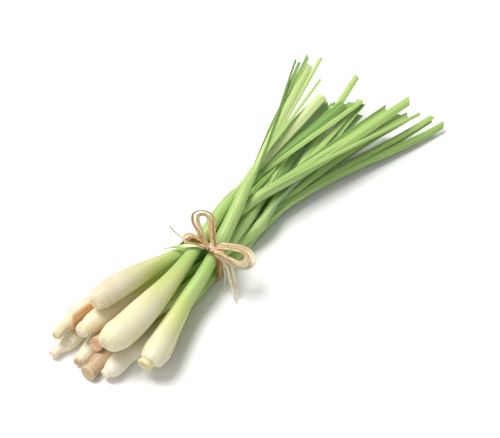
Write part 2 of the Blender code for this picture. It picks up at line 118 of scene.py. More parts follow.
# ---------------------------------------------------------------------------------------
# The heap: ten cut stalks lie across each other on the board, squeezed by one tie. Each
# runs on a springy centre line that its neighbours, the board and the band push aside,
# exactly as the solids were packed.
# ---------------------------------------------------------------------------------------
TIE_AT = np.array([-59.0, 3.7, 0.0])    # where the tie crosses the bunch, in the model
GAP = 0.7               # clearance kept between neighbouring stalks
FLAT_DEPTH = 0.7        # how far a bulb is pressed flat where it rests
TIE_LIFT = 2.4          # how far the necks are held off the board, over the band
LIFT_REACH = 26.0       # how far from the tie that lift fades out
ROUND_END = 17.0        # length over which the cut end swells to the full bulb
BULB_LENGTH = 24.0      # how far from the butt the bulb starts to narrow
NECK_LENGTH = 5.0       # length of neck before the tie, once it has narrowed
LOOSE_RADIUS = 4.5      # radius of every stem once the tie no longer squeezes it
LOOSE_BY = 42.0         # where past the tie it has that radius
SHEATH_OPENS = 64.0     # past the tie, where the outer leaves part from the stem
SPRAY_FULL = 0.85       # share of the way to the tip where the leaf spray is widest
CORE_STARTS = 110.0     # past the tie, where only the rolled inner leaf is left
CORE_RADIUS = 1.9
STATION = 5.0           # spacing of the cross-sections in which the bunch is packed
X_LINE = np.arange(-140.0, 246.0, STATION)
SETTLE_STEPS = 1000
CALM_SHARE = 0.6        # share of the steps after which moves are small and local
HOME_SHARE = 0.5        # share of the steps that also draw a line back to its own course
HOME_PULL = 0.99        # what such a step leaves of its distance from it
WIDE_MOVE = (1.6, 8)    # an early move, in pushes, and how often it's blurred
CALM_MOVE = (1.2, 2)    # the same for a late one
LEAST_SQUARE = 0.2      # least part of a squared distance that counts as square to the lines

# Butt and tip are (x, y, z) and tie is the (y, z) in it. Bulb, cut and neck are the radii of
# the stem at its thickest, at its cut end and in the tie, and spray that of the leaves' end.
Stalk = namedtuple("Stalk", "butt bulb cut tie neck tip spray")
STALKS = {
    "stalk_front": Stalk((-95, -29, 10.5), 10.5, 4.6, (-11.5, 22), 4.8, (184, 47, 52), 10.5),
    "stalk_brown": Stalk((-118, -1, 8), 6.8, 3.0, (-12.5, 13.5), 3.6, (181, 30, 33), 7.5),
    "stalk_top": Stalk((-107, -10, 28.5), 11.3, 4.4, (-2.5, 23.5), 4.6, (200, 12, 36), 9.0),
    "stalk_low": Stalk((-110, -12, 7.5), 8.6, 4.0, (-8.5, 6.2), 3.8, (239, -53, 9), 8.5),
    "stalk_thin": Stalk((-108, 3, 18), 4.6, 3.2, (-4.5, 13), 3.2, (196, 1, 27), 7.5),
    "stalk_under": Stalk((-116, 11, 5), 6.2, 3.4, (-0.5, 6), 3.5, (173, -2, 9), 8.0),
    "stalk_middle": Stalk((-103, 11, 25), 8.2, 3.8, (3, 13.5), 3.8, (200, -14, 23), 8.5),
    "stalk_upper": Stalk((-95, 14, 36), 10.3, 4.6, (6.5, 22), 4.5, (219, -29, 29), 9.5),
    "stalk_sheathed": Stalk((-116, 26, 17), 6.8, 5.0, (11, 13.5), 3.6, (222, -36, 14), 8.0),
    "stalk_far": Stalk((-121, 24, 5), 6.3, 4.2, (7.5, 6.2), 3.7, (192, 22, 15), 8.5),
}


def metres(points):
    """Points measured from the tie, in millimetres, as the model's own, in metres."""
    return (np.asarray(points) + TIE_AT) * 0.001


def unit(vectors):
    """Vectors made one long."""
    return vectors / np.linalg.norm(vectors, axis=-1, keepdims=True)


def ease(t):
    """Smooth step from 0 to 1: 3 t^2 - 2 t^3."""
    t = np.clip(t, 0.0, 1.0)
    return t * t * (3.0 - 2.0 * t)


def cubic(t, start, end, leaving, arriving):
    """The cubic in t that goes from start to end with those slopes (Hermite's)."""
    return ((2 * t ** 3 - 3 * t ** 2 + 1) * start + (t ** 3 - 2 * t ** 2 + t) * leaving
            + (3 * t ** 2 - 2 * t ** 3) * end + (t ** 3 - t ** 2) * arriving)


def bulb_radius(stalk, x):
    """An elliptic butt from the cut radius to the bulb's, then a smooth taper to the neck."""
    butt = stalk.butt[0]
    along = x - butt
    swell = 1.0 - (1.0 - np.clip(along / ROUND_END, 0.0, 1.0)) ** 2
    full = np.sqrt(stalk.cut ** 2 + (stalk.bulb ** 2 - stalk.cut ** 2) * swell)
    narrow = ease((along - BULB_LENGTH) / (-butt - BULB_LENGTH - NECK_LENGTH))
    return full * (1.0 - narrow) + stalk.neck * narrow


def past_tie_radius(stalk, x):
    """The neck's radius, easing to the loose one at LOOSE_BY."""
    return stalk.neck + (LOOSE_RADIUS - stalk.neck) * ease(x / LOOSE_BY)


def sleeve_radius(stalk, x):
    """The room of a stalk with its blades: past the sheaths it widens to the spray."""
    slim = past_tie_radius(stalk, x)
    widest = SPRAY_FULL * stalk.tip[0]
    spread = slim + (stalk.spray - slim) * ease((x - SHEATH_OPENS) / (widest - SHEATH_OPENS))
    return np.where(x > 0.0, spread, bulb_radius(stalk, x))


def stem_radius(stalk, x):
    """Bulb and neck, then a taper from the sheaths to the rolled inner leaf."""
    thin = ease((x - SHEATH_OPENS) / (CORE_STARTS - SHEATH_OPENS))
    past = past_tie_radius(stalk, x) * (1.0 - thin) + CORE_RADIUS * thin
    return np.where(x > 0.0, past, bulb_radius(stalk, x))


def drawn_line(stalk, x):
    """A stalk's line were it alone: butt, tie and tip joined by two cubics, which share
    their slope in the tie. To the side it is the mean of both slopes, weighted towards
    the shorter one's, and upwards it is their plain mean."""
    butt, tie, tip = stalk.butt, stalk.tie, stalk.tip
    line = np.zeros((len(x), 2))
    for c in range(2):
        before = (tie[c] - butt[c + 1]) / -butt[0]
        after = (tip[c + 1] - tie[c]) / tip[0]
        if c == 0:
            through = (before * tip[0] - after * butt[0]) / (tip[0] - butt[0])
        else:
            through = 0.5 * (before + after)
        head = cubic(np.clip((x - butt[0]) / -butt[0], 0.0, 1.0), butt[c + 1], tie[c],
                     -butt[0] * before, -butt[0] * through)
        tail = cubic(np.clip(x / tip[0], 0.0, 1.0), tie[c], tip[c + 1],
                     tip[0] * through, tip[0] * after)
        line[:, c] = np.where(x < 0.0, head, tail)
    return line


def blur(field, times):
    """Binomial smoothing along the stalks, 1 2 1 over 4."""
    for _ in range(times):
        wide = np.pad(field, ((0, 0), (1, 1), (0, 0)), mode="edge")
        field = (wide[:, :-2] + 2.0 * wide[:, 1:-1] + wide[:, 2:]) / 4.0
    return field


def settle(stalks):
    """Relax the lines: overlapping pairs part by half their overlap each, and a line
    too low for its radius is lifted. Moves are blurred along the stalks."""
    drawn = np.array([drawn_line(s, X_LINE) for s in stalks])
    room = np.array([sleeve_radius(s, X_LINE) for s in stalks])
    there = np.array([(X_LINE >= s.butt[0] - STATION) & (X_LINE <= s.tip[0] + STATION)
                      for s in stalks])
    first, second = np.triu_indices(len(stalks), 1)
    both = there[first] & there[second]
    need = room[first] + room[second] + GAP
    ground = (TIE_LIFT + FLAT_DEPTH) * (1.0 - ease(np.abs(X_LINE) / LIFT_REACH)) - FLAT_DEPTH
    place = drawn.copy()
    for step in range(SETTLE_STEPS):
        late = step > CALM_SHARE * SETTLE_STEPS
        slope = np.gradient(place, X_LINE, axis=1)
        mean = 0.5 * (slope[first] + slope[second])
        apart = place[second] - place[first]
        distance = np.sqrt((apart ** 2).sum(-1)) + 1e-9
        heading = apart / distance[..., None]
        lean = (heading * mean).sum(-1) ** 2 / (1.0 + (mean ** 2).sum(-1))
        square = distance * np.sqrt(np.clip(1.0 - lean, LEAST_SQUARE, 1.0))
        push = 0.5 * heading * np.where(both, np.clip(need - square, 0.0, None), 0.0)[..., None]
        move = np.zeros_like(place)
        np.add.at(move, first, -push)
        np.add.at(move, second, push)
        lowest = room * np.sqrt(1.0 + slope[..., 1] ** 2) + ground
        lift = np.clip(lowest - place[..., 1] - move[..., 1], 0.0, None)
        move[..., 1] += np.where(there, lift, 0.0)
        size, times = CALM_MOVE if late else WIDE_MOVE
        place += size * blur(move, times)
        bent = place - drawn
        if not late:
            bent = blur(bent, 1)
        if step < HOME_SHARE * SETTLE_STEPS:
            bent *= HOME_PULL
        place = drawn + bent
        if late:
            slope = np.gradient(place[..., 1], X_LINE, axis=1)
            lowest = room * np.sqrt(1.0 + slope ** 2) + ground
            place[..., 1] = np.where(there, np.maximum(place[..., 1], lowest), place[..., 1])
    return place


def on_line(place, x):
    """Points of a centre line at the places x, by cubic interpolation, and its tangents."""
    slopes = np.gradient(place, X_LINE, axis=0)
    i = np.clip(((x - X_LINE[0]) / STATION).astype(int), 0, len(X_LINE) - 2)
    t = ((x - X_LINE[i]) / STATION)[..., None]
    start, end = place[i], place[i + 1]
    leaving, arriving = slopes[i] * STATION, slopes[i + 1] * STATION
    slope = ((6 * t ** 2 - 6 * t) * (start - end) + (3 * t ** 2 - 4 * t + 1) * leaving
             + (3 * t ** 2 - 2 * t) * arriving) / STATION
    points = np.concatenate([x[..., None], cubic(t, start, end, leaving, arriving)], axis=-1)
    tangents = np.concatenate([np.ones_like(x)[..., None], slope], axis=-1)
    return points, unit(tangents)


def across_line(tangents):
    """Side and up directions square to each tangent, with the side one level."""
    side = unit(np.cross([0.0, 0.0, 1.0], tangents))
    return side, np.cross(tangents, side)


PLACES = dict(zip(STALKS, settle(list(STALKS.values()))))


# ---------------------------------------------------------------------------------------
# Stalk bodies: a stalk is leaf sheaths rolled round each other. The inner roll shows as
# a pale stub where the root was cut off, and two outer sheaths start further along it,
# each with a lip at the root end and an overlapping margin that runs up the stalk.
# ---------------------------------------------------------------------------------------
AROUND = 72             # points round a stalk
LIP_HEIGHT = 0.5        # how far each sheath stands out over the one inside it
MARGIN_STEP = 0.4       # height of a sheath's overlapping margin
SHEATH_ENDS = 7.0       # past the tie, under the leaves that start there
CORE_ENDS = 94.0        # past the tie, where the inner roll is lost among the blades
CORE_POINT = 24.0       # length over which it narrows there
CORE_THINS = 0.9        # share of its radius that it loses by that
PROFILE_BLENDS = 3.0    # how far past its last point a profile goes over into the stem
FINE_BEYOND = 8.0       # how far past it the rings stay close to each other
OUTER_SINK = 0.25       # how far the outer sheath's covered edge is under the stem's radius
INNER_SINK = LIP_HEIGHT + 0.15      # and the inner one's
INNER_MARGIN = 160.0    # degrees from the outer sheath's margin to the inner one's
INNER_SLANT_TURN = 15.0     # and between the slants of their lips
ROLL_SHADE, INNER_SHADE, OUTER_SHADE = 0.3, 0.5, 0.8    # by which the skin tells them apart

# The inner roll's profile, as (distance from the butt, radius) up to where it fills the
# sheaths, how far its end is shifted to the side, and the slope of its cut. Then the
# start and slant of the inner sheath's lip, and of the outer one's, the turn of those
# slants, the turn and twist of the outer margin, all three in degrees, and the least
# radius of the outer lip.
Body = namedtuple("Body", "profile shift slope inner inner_slant outer outer_slant slant_turn"
                          " margin twist flare")
BODIES = {
    "stalk_front": Body([(1.2, 5.0), (1.8, 5.5), (5.8, 5.4), (7.5, 6.8)], 2.2, 0.15,
                        5.6, 0.8, 7.6, 0.8, 200, 150, 40, 0.0),
    "stalk_brown": Body([(-0.9, 5.0), (-0.3, 5.6), (3.0, 5.5), (6.0, 5.5)], 0.0, 0.25,
                        1.8, 1.4, 1.0, 1.4, 112, 240, 60, 5.8),
    "stalk_top": Body([(2.0, 2.4), (2.5, 3.8), (3.4, 4.9), (5.0, 6.4)], 1.8, 0.2,
                      2.7, 0.4, 3.5, 0.8, 160, 20, -50, 0.0),
    "stalk_low": Body([(-2.6, 2.6), (-2.2, 3.2), (-1.4, 3.5), (2.5, 4.2)], 0.8, 0.1,
                      -1.0, 0.3, -0.3, 0.6, 190, 40, 50, 0.0),
    "stalk_thin": Body([(4.6, 5.0), (6.0, 4.9), (8.0, 4.4)], 0.0, 0.75,
                       6.6, 3.7, 7.0, 3.7, 112, 260, 40, 5.1),
    "stalk_under": Body([(-0.6, 2.6), (1.5, 3.2), (4.0, 4.2)], 0.4, 0.4,
                        1.2, 0.6, 4.0, 1.8, 140, 100, -40, 0.0),
    "stalk_middle": Body([(-2.9, 2.0), (-2.5, 3.1), (-1.6, 4.3), (3.0, 5.6)], 0.5, 0.2,
                         -0.8, 0.3, 1.4, 0.7, 120, 60, 50, 6.0),
    "stalk_upper": Body([(5.4, 3.4), (6.2, 5.0), (8.0, 6.4), (12.0, 7.6)], 0.6, 0.15,
                        6.4, 0.6, 7.8, 1.6, 235, 130, -40, 0.0),
    "stalk_sheathed": Body([(-0.5, 2.8), (0.3, 3.5), (8.0, 3.8), (19.0, 4.6)], -1.2, 0.15,
                           18.0, 3.0, 15.5, 3.6, 20, 75, 40, 0.0),
    "stalk_far": Body([(-2.2, 2.9), (-1.2, 3.4), (4.4, 3.1), (8.0, 4.2)], 0.4, 0.3,
                      8.2, 1.2, 11.5, 1.6, 110, 50, 40, 0.0),
}

# How far a butt is moved to the side and up, which fades over LEAN_REACH
LEANS = {"stalk_brown": (-3.5, 0.0), "stalk_low": (3.2, 0.0), "stalk_top": (1.2, 0.8),
         "stalk_sheathed": (-1.4, 0.0), "stalk_far": (-1.6, 0.0), "stalk_under": (-4.6, 0.0)}
LEAN_REACH = 26.0

# Greatest radius at the lip, and how fast it grows with the root of the distance from it
TAPERS = {"stalk_low": (3.9, 1.5), "stalk_upper": (4.6, 1.6), "stalk_top": (5.2, 1.75),
          "stalk_front": (6.4, 1.25)}

# Share of its radius that a bulb lacks, how far its middle is moved to the side and up, and
# the distances from the butt where that is full, where it starts to fade and where it ends
Slim = namedtuple("Slim", "share side up full fades gone")
SLIMS = {"stalk_front": Slim(0.27, 2.6, -1.8, 40.0, 54.0, 84.0),
         "stalk_low": Slim(0.27, 3.8, -1.2, 20.0, 60.0, 90.0),
         "stalk_upper": Slim(0.14, 1.0, 1.0, 20.0, 56.0, 84.0),
         "stalk_top": Slim(0.07, -0.5, 0.0, 24.0, 60.0, 90.0)}

# How far a stalk is off its line past the tie, to the side and up, and where that starts
ARCHES = {"stalk_low": (7.0, 4.0), "stalk_upper": (-3.6, -0.6)}
ARCH_STARTS = 12.0
ARCH_SKEW = 0.75        # under 1, it is greatest before half way

# The cut face: rings at these shares of its radius lie this deep, the edges of rolled leaves
CUT_RINGS = np.array([0.07, 0.22, 0.24, 0.40, 0.42, 0.58, 0.60, 0.78, 0.80, 0.93, 1.0])
CUT_DEPTHS = 0.3 * np.array([1, 1, 0, 0, 1, 1, 0, 0, 1, 0.7, 0.1])
CUT_TURN = 1.95         # radians round the stem to the side that a slanting cut faces
CUT_LEAD = 0.03         # how far its proudest rings are before the skin's first one
CUT_ROUNDING = (0.3, 0.1)   # taken off the radius of the skin's first two rings
CUT_FADES = (1.0, 9.0)  # from the butt, where the end's unevenness starts to fade, and how
                        # far on from there it's gone
THREE_FOLD, FIVE_FOLD = 0.035, 0.02     # shares of its radius that it is out of round
FACE_V = -400.0         # v of a cut face's centre; it rises by FACE_RUN to the rim
FACE_RUN = 10.0

# A sheath's lip. Its uneven edge is two waves: their height, and how many go round it
LIP_RAGS = ((0.18, 7.0), (0.12, 13.0))
LIP_ROUNDING = 0.35     # how much the edge is rounded off
LIP_ROUND_RUN = 0.9     # and over what length
LIP_TUCK = 1.1          # how far the edge turns in under itself
FLARE_REACH = 14.0      # length over which its flare fades
TWIST_RUN = 100.0       # length over which a margin goes round by its twist
SEAM_WIDTH = 0.02       # how much of u the step at a margin takes


class Skin:
    """Surfaces gathered into one mesh, with a UV map whose v is millimetres from the tie."""

    def __init__(self):
        self.points, self.faces, self.uv, self.shade, self.count = [], [], [], [], 0

    def add(self, points, u, v, shade):
        """A closed body from a grid: rows of rings, joined round and shut by a fan at
        both ends. u has one more column than a ring has points, for the seam."""
        rows, cols, _ = points.shape
        u = np.broadcast_to(u, (rows, cols + 1))
        v = np.broadcast_to(v, (rows, cols + 1))
        i, j = np.meshgrid(np.arange(rows - 1), np.arange(cols), indexing="ij")
        corner = [(i, j), (i + 1, j), (i + 1, j + 1), (i, j + 1)]
        quads = np.stack([a * cols + b % cols for a, b in corner], axis=-1).reshape(-1, 4)
        quad_uv = np.stack([np.stack([u[a, b], v[a, b]], -1) for a, b in corner], 2)
        quad_uv = quad_uv.reshape(-1, 4, 2)
        last = (rows - 1) * cols
        ring = np.arange(cols)
        after = (ring + 1) % cols
        fans = np.concatenate([
            np.stack([np.full(cols, rows * cols), ring, after], -1),
            np.stack([np.full(cols, rows * cols + 1), last + after, last + ring], -1)])
        fan_uv = np.concatenate([self.fan_uv(u[0], v[0], False), self.fan_uv(u[-1], v[-1], True)])
        ends = [points[k].mean(0, keepdims=True) for k in (0, -1)]
        points = np.concatenate([points.reshape(-1, 3), *ends])
        tris = np.concatenate([quads[:, :3], quads[:, [0, 2, 3]], fans])
        a, b, c = (points[tris[:, k]] for k in range(3))
        if np.einsum("ij,ij->", a, np.cross(b, c)) < 0.0:
            quads, quad_uv = quads[:, ::-1], quad_uv[:, ::-1]
            fans, fan_uv = fans[:, ::-1], fan_uv[:, ::-1]
        self.faces += (quads + self.count).tolist() + (fans + self.count).tolist()
        self.uv += [quad_uv.reshape(-1, 2), fan_uv.reshape(-1, 2)]
        self.points.append(points)
        self.shade.append(np.full(len(points), shade))
        self.count += len(points)

    def add_sheet(self, top, under, s, v, lowest, shade):
        """A thin body from its two faces, in rows that go across it. Its u is s, there and
        back, and no point of it is lower than `lowest`."""
        points = np.concatenate([top, under[:, -2:0:-1]], axis=1)
        points[..., 2] = np.maximum(points[..., 2], lowest)
        self.add(points, np.concatenate([s, s[-2:0:-1], s[:1]])[None], v[:, None], shade)

    @staticmethod
    def fan_uv(u, v, flip):
        """UV of an end fan: the centre takes the ring's mean."""
        centre = np.broadcast_to([u.mean(), v.mean()], (len(u) - 1, 2))
        here, there = np.stack([u[:-1], v[:-1]], -1), np.stack([u[1:], v[1:]], -1)
        return np.stack([centre, there, here] if flip else [centre, here, there], axis=1)

    def to_piece(self, name, material, slot, nodes, sharp=35.0):
        """The mesh as a piece that rides on the bunch and stands for the named nodes."""
        mesh = bpy.data.meshes.new(name)
        mesh.from_pydata(metres(np.concatenate(self.points)).tolist(), [], self.faces)
        mesh.uv_layers.new(name="UVMap")
        mesh.uv_layers[0].data.foreach_set("uv", np.concatenate(self.uv).ravel())
        mesh.attributes.new("shade", "FLOAT", "POINT")
        mesh.attributes["shade"].data.foreach_set("value", np.concatenate(self.shade))
        mesh.shade_smooth()
        mesh.set_sharp_from_angle(angle=math.radians(sharp))
        mesh.materials.append(material)
        piece = bpy.data.objects.new(name, mesh)
        bpy.context.scene.collection.objects.link(piece)
        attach(piece, "root")
        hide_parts(*nodes)
        return piece


def rings_at(place, x, turn, radius):
    """Points round a centre line: centre + radius (cos(turn) side + sin(turn) up)."""
    points, tangents = on_line(place, x)
    side, up = across_line(tangents)
    points = points + radius[..., None] * (np.cos(turn)[..., None] * side
                                           + np.sin(turn)[..., None] * up)
    points[..., 2] = np.maximum(points[..., 2], 0.0)
    return points


def stations(start, end, fine, coarse, fine_run):
    """Places along a stalk, finely spaced near its start and coarser after that."""
    near = np.arange(start, min(start + fine_run, end), fine)
    return np.concatenate([near, np.linspace(near[-1] + fine, end,
                                             max(3, round((end - near[-1]) / coarse)))])


def arched(name, x):
    """How far a stalk is off its line at x: sin^2(pi share^ARCH_SKEW) of its arch, which
    is nothing where it starts and at the tip."""
    start, end = ARCH_STARTS, STALKS[name].tip[0]
    share = np.clip((x - start) / (end - start), 0.0, 1.0) ** ARCH_SKEW
    rise = np.sin(math.pi * share) ** 2
    return rise[..., None] * np.array([0.0, *ARCHES.get(name, (0.0, 0.0))])


def slimmed(name, x):
    """Share of its change that a bulb has at x: it rises from the butt and fades again."""
    slim = SLIMS[name]
    along = x - STALKS[name].butt[0]
    return ease(along / slim.full) * (1.0 - ease((along - slim.fades) / (slim.gone - slim.fades)))


def skin_radius(name, x):
    """The stem's radius, less what a slim bulb lacks."""
    radius = stem_radius(STALKS[name], np.maximum(x, STALKS[name].butt[0]))
    return radius * (1.0 - SLIMS[name].share * slimmed(name, x)) if name in SLIMS else radius


def leaned(points, name, x):
    """Points moved off the stalk's line: near the butt by its lean, along a slim bulb by
    its shift and past the tie by its arch, and never under the board."""
    side, up = LEANS.get(name, (0.0, 0.0))
    share = 1.0 - ease((x - STALKS[name].butt[0]) / LEAN_REACH)
    points = points + share[..., None] * np.array([0.0, side, up])
    if name in SLIMS:
        shift = np.array([0.0, SLIMS[name].side, SLIMS[name].up])
        points = points + slimmed(name, x)[..., None] * shift
    points = points + arched(name, x)
    points[..., 2] = np.maximum(points[..., 2], 0.0)
    return points


def inner_roll(skin, name):
    """The stalk inside its outer sheaths: the profile's radius near the butt, and the stem
    radius less what covers it further on. Its cut face is a row of rings that step in
    and out, the edges of the rolled leaves, and its v is FACE_V + FACE_RUN x radius."""
    body, butt = BODIES[name], STALKS[name].butt[0]
    at, wide = np.array(body.profile).T
    x = stations(butt + at[0], CORE_ENDS, fine=0.4, coarse=3.0,
                 fine_run=at[-1] - at[0] + FINE_BEYOND)
    grown = skin_radius(name, x) - 2.0 * LIP_HEIGHT
    fill = ease((x - butt - at[-2]) / (at[-1] - at[-2] + PROFILE_BLENDS))
    radius = np.interp(x - butt, at, wide) * (1.0 - fill) + grown * fill
    radius *= 1.0 - CORE_THINS * ease((x - CORE_ENDS + CORE_POINT) / CORE_POINT)
    radius[:2] -= CUT_ROUNDING
    v = np.concatenate([FACE_V + FACE_RUN * CUT_RINGS, x])
    x = np.concatenate([x[0] - CUT_LEAD + CUT_DEPTHS, x])
    radius = np.concatenate([CUT_RINGS * radius[0], radius])
    turn = np.linspace(0.0, 2.0 * math.pi, AROUND, endpoint=False)
    x, turn = np.meshgrid(x, turn, indexing="ij")
    near = 1.0 - ease((x - butt - CUT_FADES[0]) / CUT_FADES[1])
    wobble = 1.0 + near * (THREE_FOLD * np.cos(3.0 * turn + butt) + FIVE_FOLD * np.cos(5.0 * turn))
    slant = near * body.slope * radius[:, None] * np.cos(turn - CUT_TURN)
    points = rings_at(PLACES[name], x + slant, turn, radius[:, None] * wobble)
    points[..., 1] += body.shift * near
    points = leaned(points, name, x)
    skin.add(points, np.linspace(0.0, 1.0, AROUND + 1)[None], v[:, None], ROLL_SHADE)


def outer_sheath(skin, name, start, slant, slant_turn, sink, margin, twist, flare, shade):
    """A leaf sheath: r = stem radius - sink + margin step x (1 - share of the way round
    from its own edge), and no less than its flare near the lip. It starts at a slanted,
    uneven lip and goes on to the band."""
    butt = STALKS[name].butt[0]
    run = stations(0.0, 1.0, fine=0.004, coarse=0.018, fine_run=0.08)
    run = np.concatenate([[0.0, 0.0], run])
    share = np.linspace(0.0, 1.0, AROUND + 1)
    run, share = np.meshgrid(run, share, indexing="ij")
    angle = 2.0 * math.pi * share
    (low_rag, low_times), (fine_rag, fine_times) = LIP_RAGS
    ragged = low_rag * np.sin(low_times * angle + butt) + fine_rag * np.sin(fine_times * angle)
    lip = butt + start + slant * np.cos(angle + math.radians(margin - slant_turn)) + ragged
    x = lip + run * (SHEATH_ENDS - lip)
    turn = angle + np.radians(margin + twist * (x - butt) / TWIST_RUN)
    radius = skin_radius(name, x) - sink + MARGIN_STEP * (1.0 - share)
    radius = np.maximum(radius, flare * (1.0 - ease((x - lip) / FLARE_REACH)))
    if name in TAPERS:
        widest, growth = TAPERS[name]
        radius = np.minimum(radius, widest + growth * np.sqrt(np.maximum(x - lip, 0.0)))
    edge = np.sqrt(np.clip((x - lip) / LIP_ROUND_RUN, 0.0, 1.0))
    radius = radius - LIP_ROUNDING * (1.0 - edge)
    radius[0] -= LIP_TUCK
    points = leaned(rings_at(PLACES[name], x, turn, radius), name, x)
    u = np.concatenate([share, share[:, -1:] + SEAM_WIDTH], axis=1)
    v = np.concatenate([x, x[:, -1:]], axis=1)
    skin.add(points, u, v, shade)


class Wire:
    """A shader value that takes part in sums: each operator adds a Math node."""

    def __init__(self, tree, socket):
        self.tree, self.socket = tree, socket

    def math(self, operation, *values):
        """The Math node of that operation on the given values."""
        return add_node(self.tree, "ShaderNodeMath", {"operation": operation},
                        dict(enumerate(values)))

    def __add__(self, other):
        return self.math("ADD", self, other)

    def __sub__(self, other):
        return self.math("SUBTRACT", self, other)

    def __rsub__(self, other):
        return self.math("SUBTRACT", other, self)

    def __mul__(self, other):
        return self.math("MULTIPLY", self, other)

    __radd__, __rmul__ = __add__, __mul__


def add_node(tree, kind, settings=(), inputs=(), output=0):
    """A node: its settings are made first, where a ramp's are its stops, then its sockets
    get values or links. What comes back is its output of that number or name."""
    node = tree.nodes.new(kind)
    for key, value in dict(settings).items():
        if key == "stops":
            ramp = node.color_ramp
            while len(ramp.elements) < len(value):
                ramp.elements.new(1.0)
            for element, (position, colour) in zip(ramp.elements, value):
                element.position, element.color = position, (*colour, 1.0)
        else:
            setattr(node, key, value)
    for key, value in dict(inputs).items():
        if isinstance(value, Wire):
            tree.links.new(value.socket, node.inputs[key])
        elif isinstance(value, tuple) and len(value) == 3 and node.inputs[key].type == "RGBA":
            node.inputs[key].default_value = (*value, 1.0)
        else:
            node.inputs[key].default_value = value
    return Wire(tree, node.outputs[output])


RELIEF = 0.0003         # metres that a bump of full strength stands out


def colour(red, green, blue):
    """A display colour from 0 to 255 as linear light, by the sRGB curve."""
    c = np.array([red, green, blue]) / 255.0
    return tuple(float(s) for s in np.where(c <= 0.04045, c / 12.92, ((c + 0.055) / 1.055) ** 2.4))


class Finish:
    """A material in the making: its shader, and the values that patterns are made from, which
    are u and v, the place in the piece's own frame (spot) and the piece's shade."""

    def __init__(self, name):
        self.material = bpy.data.materials.new(name)
        self.material.use_nodes = True
        self.tree = self.material.node_tree
        self.shader = self.tree.nodes["Principled BSDF"]
        uv = add_node(self.tree, "ShaderNodeUVMap", {"uv_map": "UVMap"})
        self.u = self.part(uv, 0)
        self.v = self.part(uv, 1)
        self.spot = add_node(self.tree, "ShaderNodeTexCoord", output="Object")
        self.shade = add_node(self.tree, "ShaderNodeAttribute", {"attribute_name": "shade"},
                              output="Fac")

    def part(self, vector, axis):
        """One coordinate of a vector."""
        return add_node(self.tree, "ShaderNodeSeparateXYZ", {}, {0: vector}, axis)

    def vector(self, x, y):
        """A flat vector from its coordinates."""
        return add_node(self.tree, "ShaderNodeCombineXYZ", {}, {0: x, 1: y})

    def noise(self, vector, scale=1.0, detail=2.0, rough=0.5):
        """Soft random spots over a vector, from 0 to 1."""
        return add_node(self.tree, "ShaderNodeTexNoise", {},
                        {"Vector": vector, "Scale": scale, "Detail": detail, "Roughness": rough})

    def rise(self, value, low, high):
        """0 below low, 1 above high, and a smooth step between."""
        return add_node(self.tree, "ShaderNodeMapRange", {"interpolation_type": "SMOOTHSTEP"},
                        {0: value, 1: low, 2: high, 3: 0.0, 4: 1.0})

    def mix(self, factor, a, b):
        """Colour a turned to b by the factor."""
        return add_node(self.tree, "ShaderNodeMix", {"data_type": "RGBA"},
                        {0: factor, 6: a, 7: b}, 2)

    def coat(self, weight, roughness):
        """A thin waxy gloss over the whole piece."""
        self.shader.inputs["Coat Weight"].default_value = weight
        self.shader.inputs["Coat Roughness"].default_value = roughness

    def wear(self, base, roughness, bump, strength):
        """Link the colour, roughness and relief to the shader, and give the material."""
        links, sockets = self.tree.links, self.shader.inputs
        links.new(base.socket, sockets["Base Color"])
        if isinstance(roughness, Wire):
            links.new(roughness.socket, sockets["Roughness"])
        else:
            sockets["Roughness"].default_value = roughness
        normal = add_node(self.tree, "ShaderNodeBump", {},
                          {"Strength": strength, "Distance": RELIEF, "Height": bump})
        links.new(normal.socket, sockets["Normal"])
        return self.material


# Each stalk's skin: its pale colour, where along it the green starts and is full, its dry
# tint, the shade of the layer that is dry (0 for none), where along it that ends and how
# far it is kept to the lower near side, where the dry tint is also painted shade, the tint
# of its stub and cut face, and how strongly that is ringed
Look = namedtuple("Look", "pale green_from green_full dry dry_layer dry_ends one_side cut ringed")
CREAM = colour(238, 231, 200)
YELLOW_GREEN = colour(210, 218, 134)
SHEATH_GREEN = colour(178, 208, 122)
FRESH_GREEN = colour(150, 192, 92)
VEIN_STRAW = colour(214, 212, 156)
DRY_BROWN = colour(120, 74, 40)
STAIN = colour(214, 184, 138)
RING_RED = colour(132, 70, 40)
SHADED_NEAR_SIDE = 176.0       # degrees round a stem to its lower near side, where a one-sided dry layer is dry and its tint is also painted shade
SKINS = {
    "stalk_front": Look(colour(224, 220, 184), -70, -22, CREAM, 0.0, -200, 0.0,
                        colour(230, 220, 165), 0.35),
    "stalk_brown": Look(colour(214, 191, 154), -50, -18, colour(199, 169, 135), 0.8, -58, 0.0,
                        colour(207, 183, 141), 0.3),
    "stalk_top": Look(colour(238, 231, 189), -58, -10, CREAM, 0.0, -200, 0.0,
                      colour(226, 223, 176), 0.3),
    "stalk_low": Look(colour(250, 246, 232), -66, -22, CREAM, 0.0, -200, 0.0,
                      colour(244, 234, 204), 0.3),
    "stalk_thin": Look(colour(209, 162, 117), -60, -20, colour(199, 143, 100), 0.8, -70, 0.0,
                       colour(226, 185, 141), 1.0),
    "stalk_under": Look(colour(248, 234, 212), -56, -18, CREAM, 0.0, -200, 0.0,
                        colour(209, 177, 131), 0.4),
    "stalk_middle": Look(colour(232, 214, 176), -60, -18, CREAM, 0.0, -200, 0.0,
                         colour(236, 220, 185), 0.3),
    "stalk_upper": Look(colour(234, 220, 189), -54, -12, colour(238, 222, 188), 0.5, -60, 0.5,
                        colour(234, 218, 181), 0.3),
    "stalk_sheathed": Look(colour(232, 212, 178), -60, -22, colour(199, 137, 67), 0.8, -50, 1.0,
                           colour(222, 214, 165), 0.3),
    "stalk_far": Look(colour(250, 238, 218), -60, -20, CREAM, 0.0, -200, 0.0,
                      colour(250, 234, 212), 0.4),
}


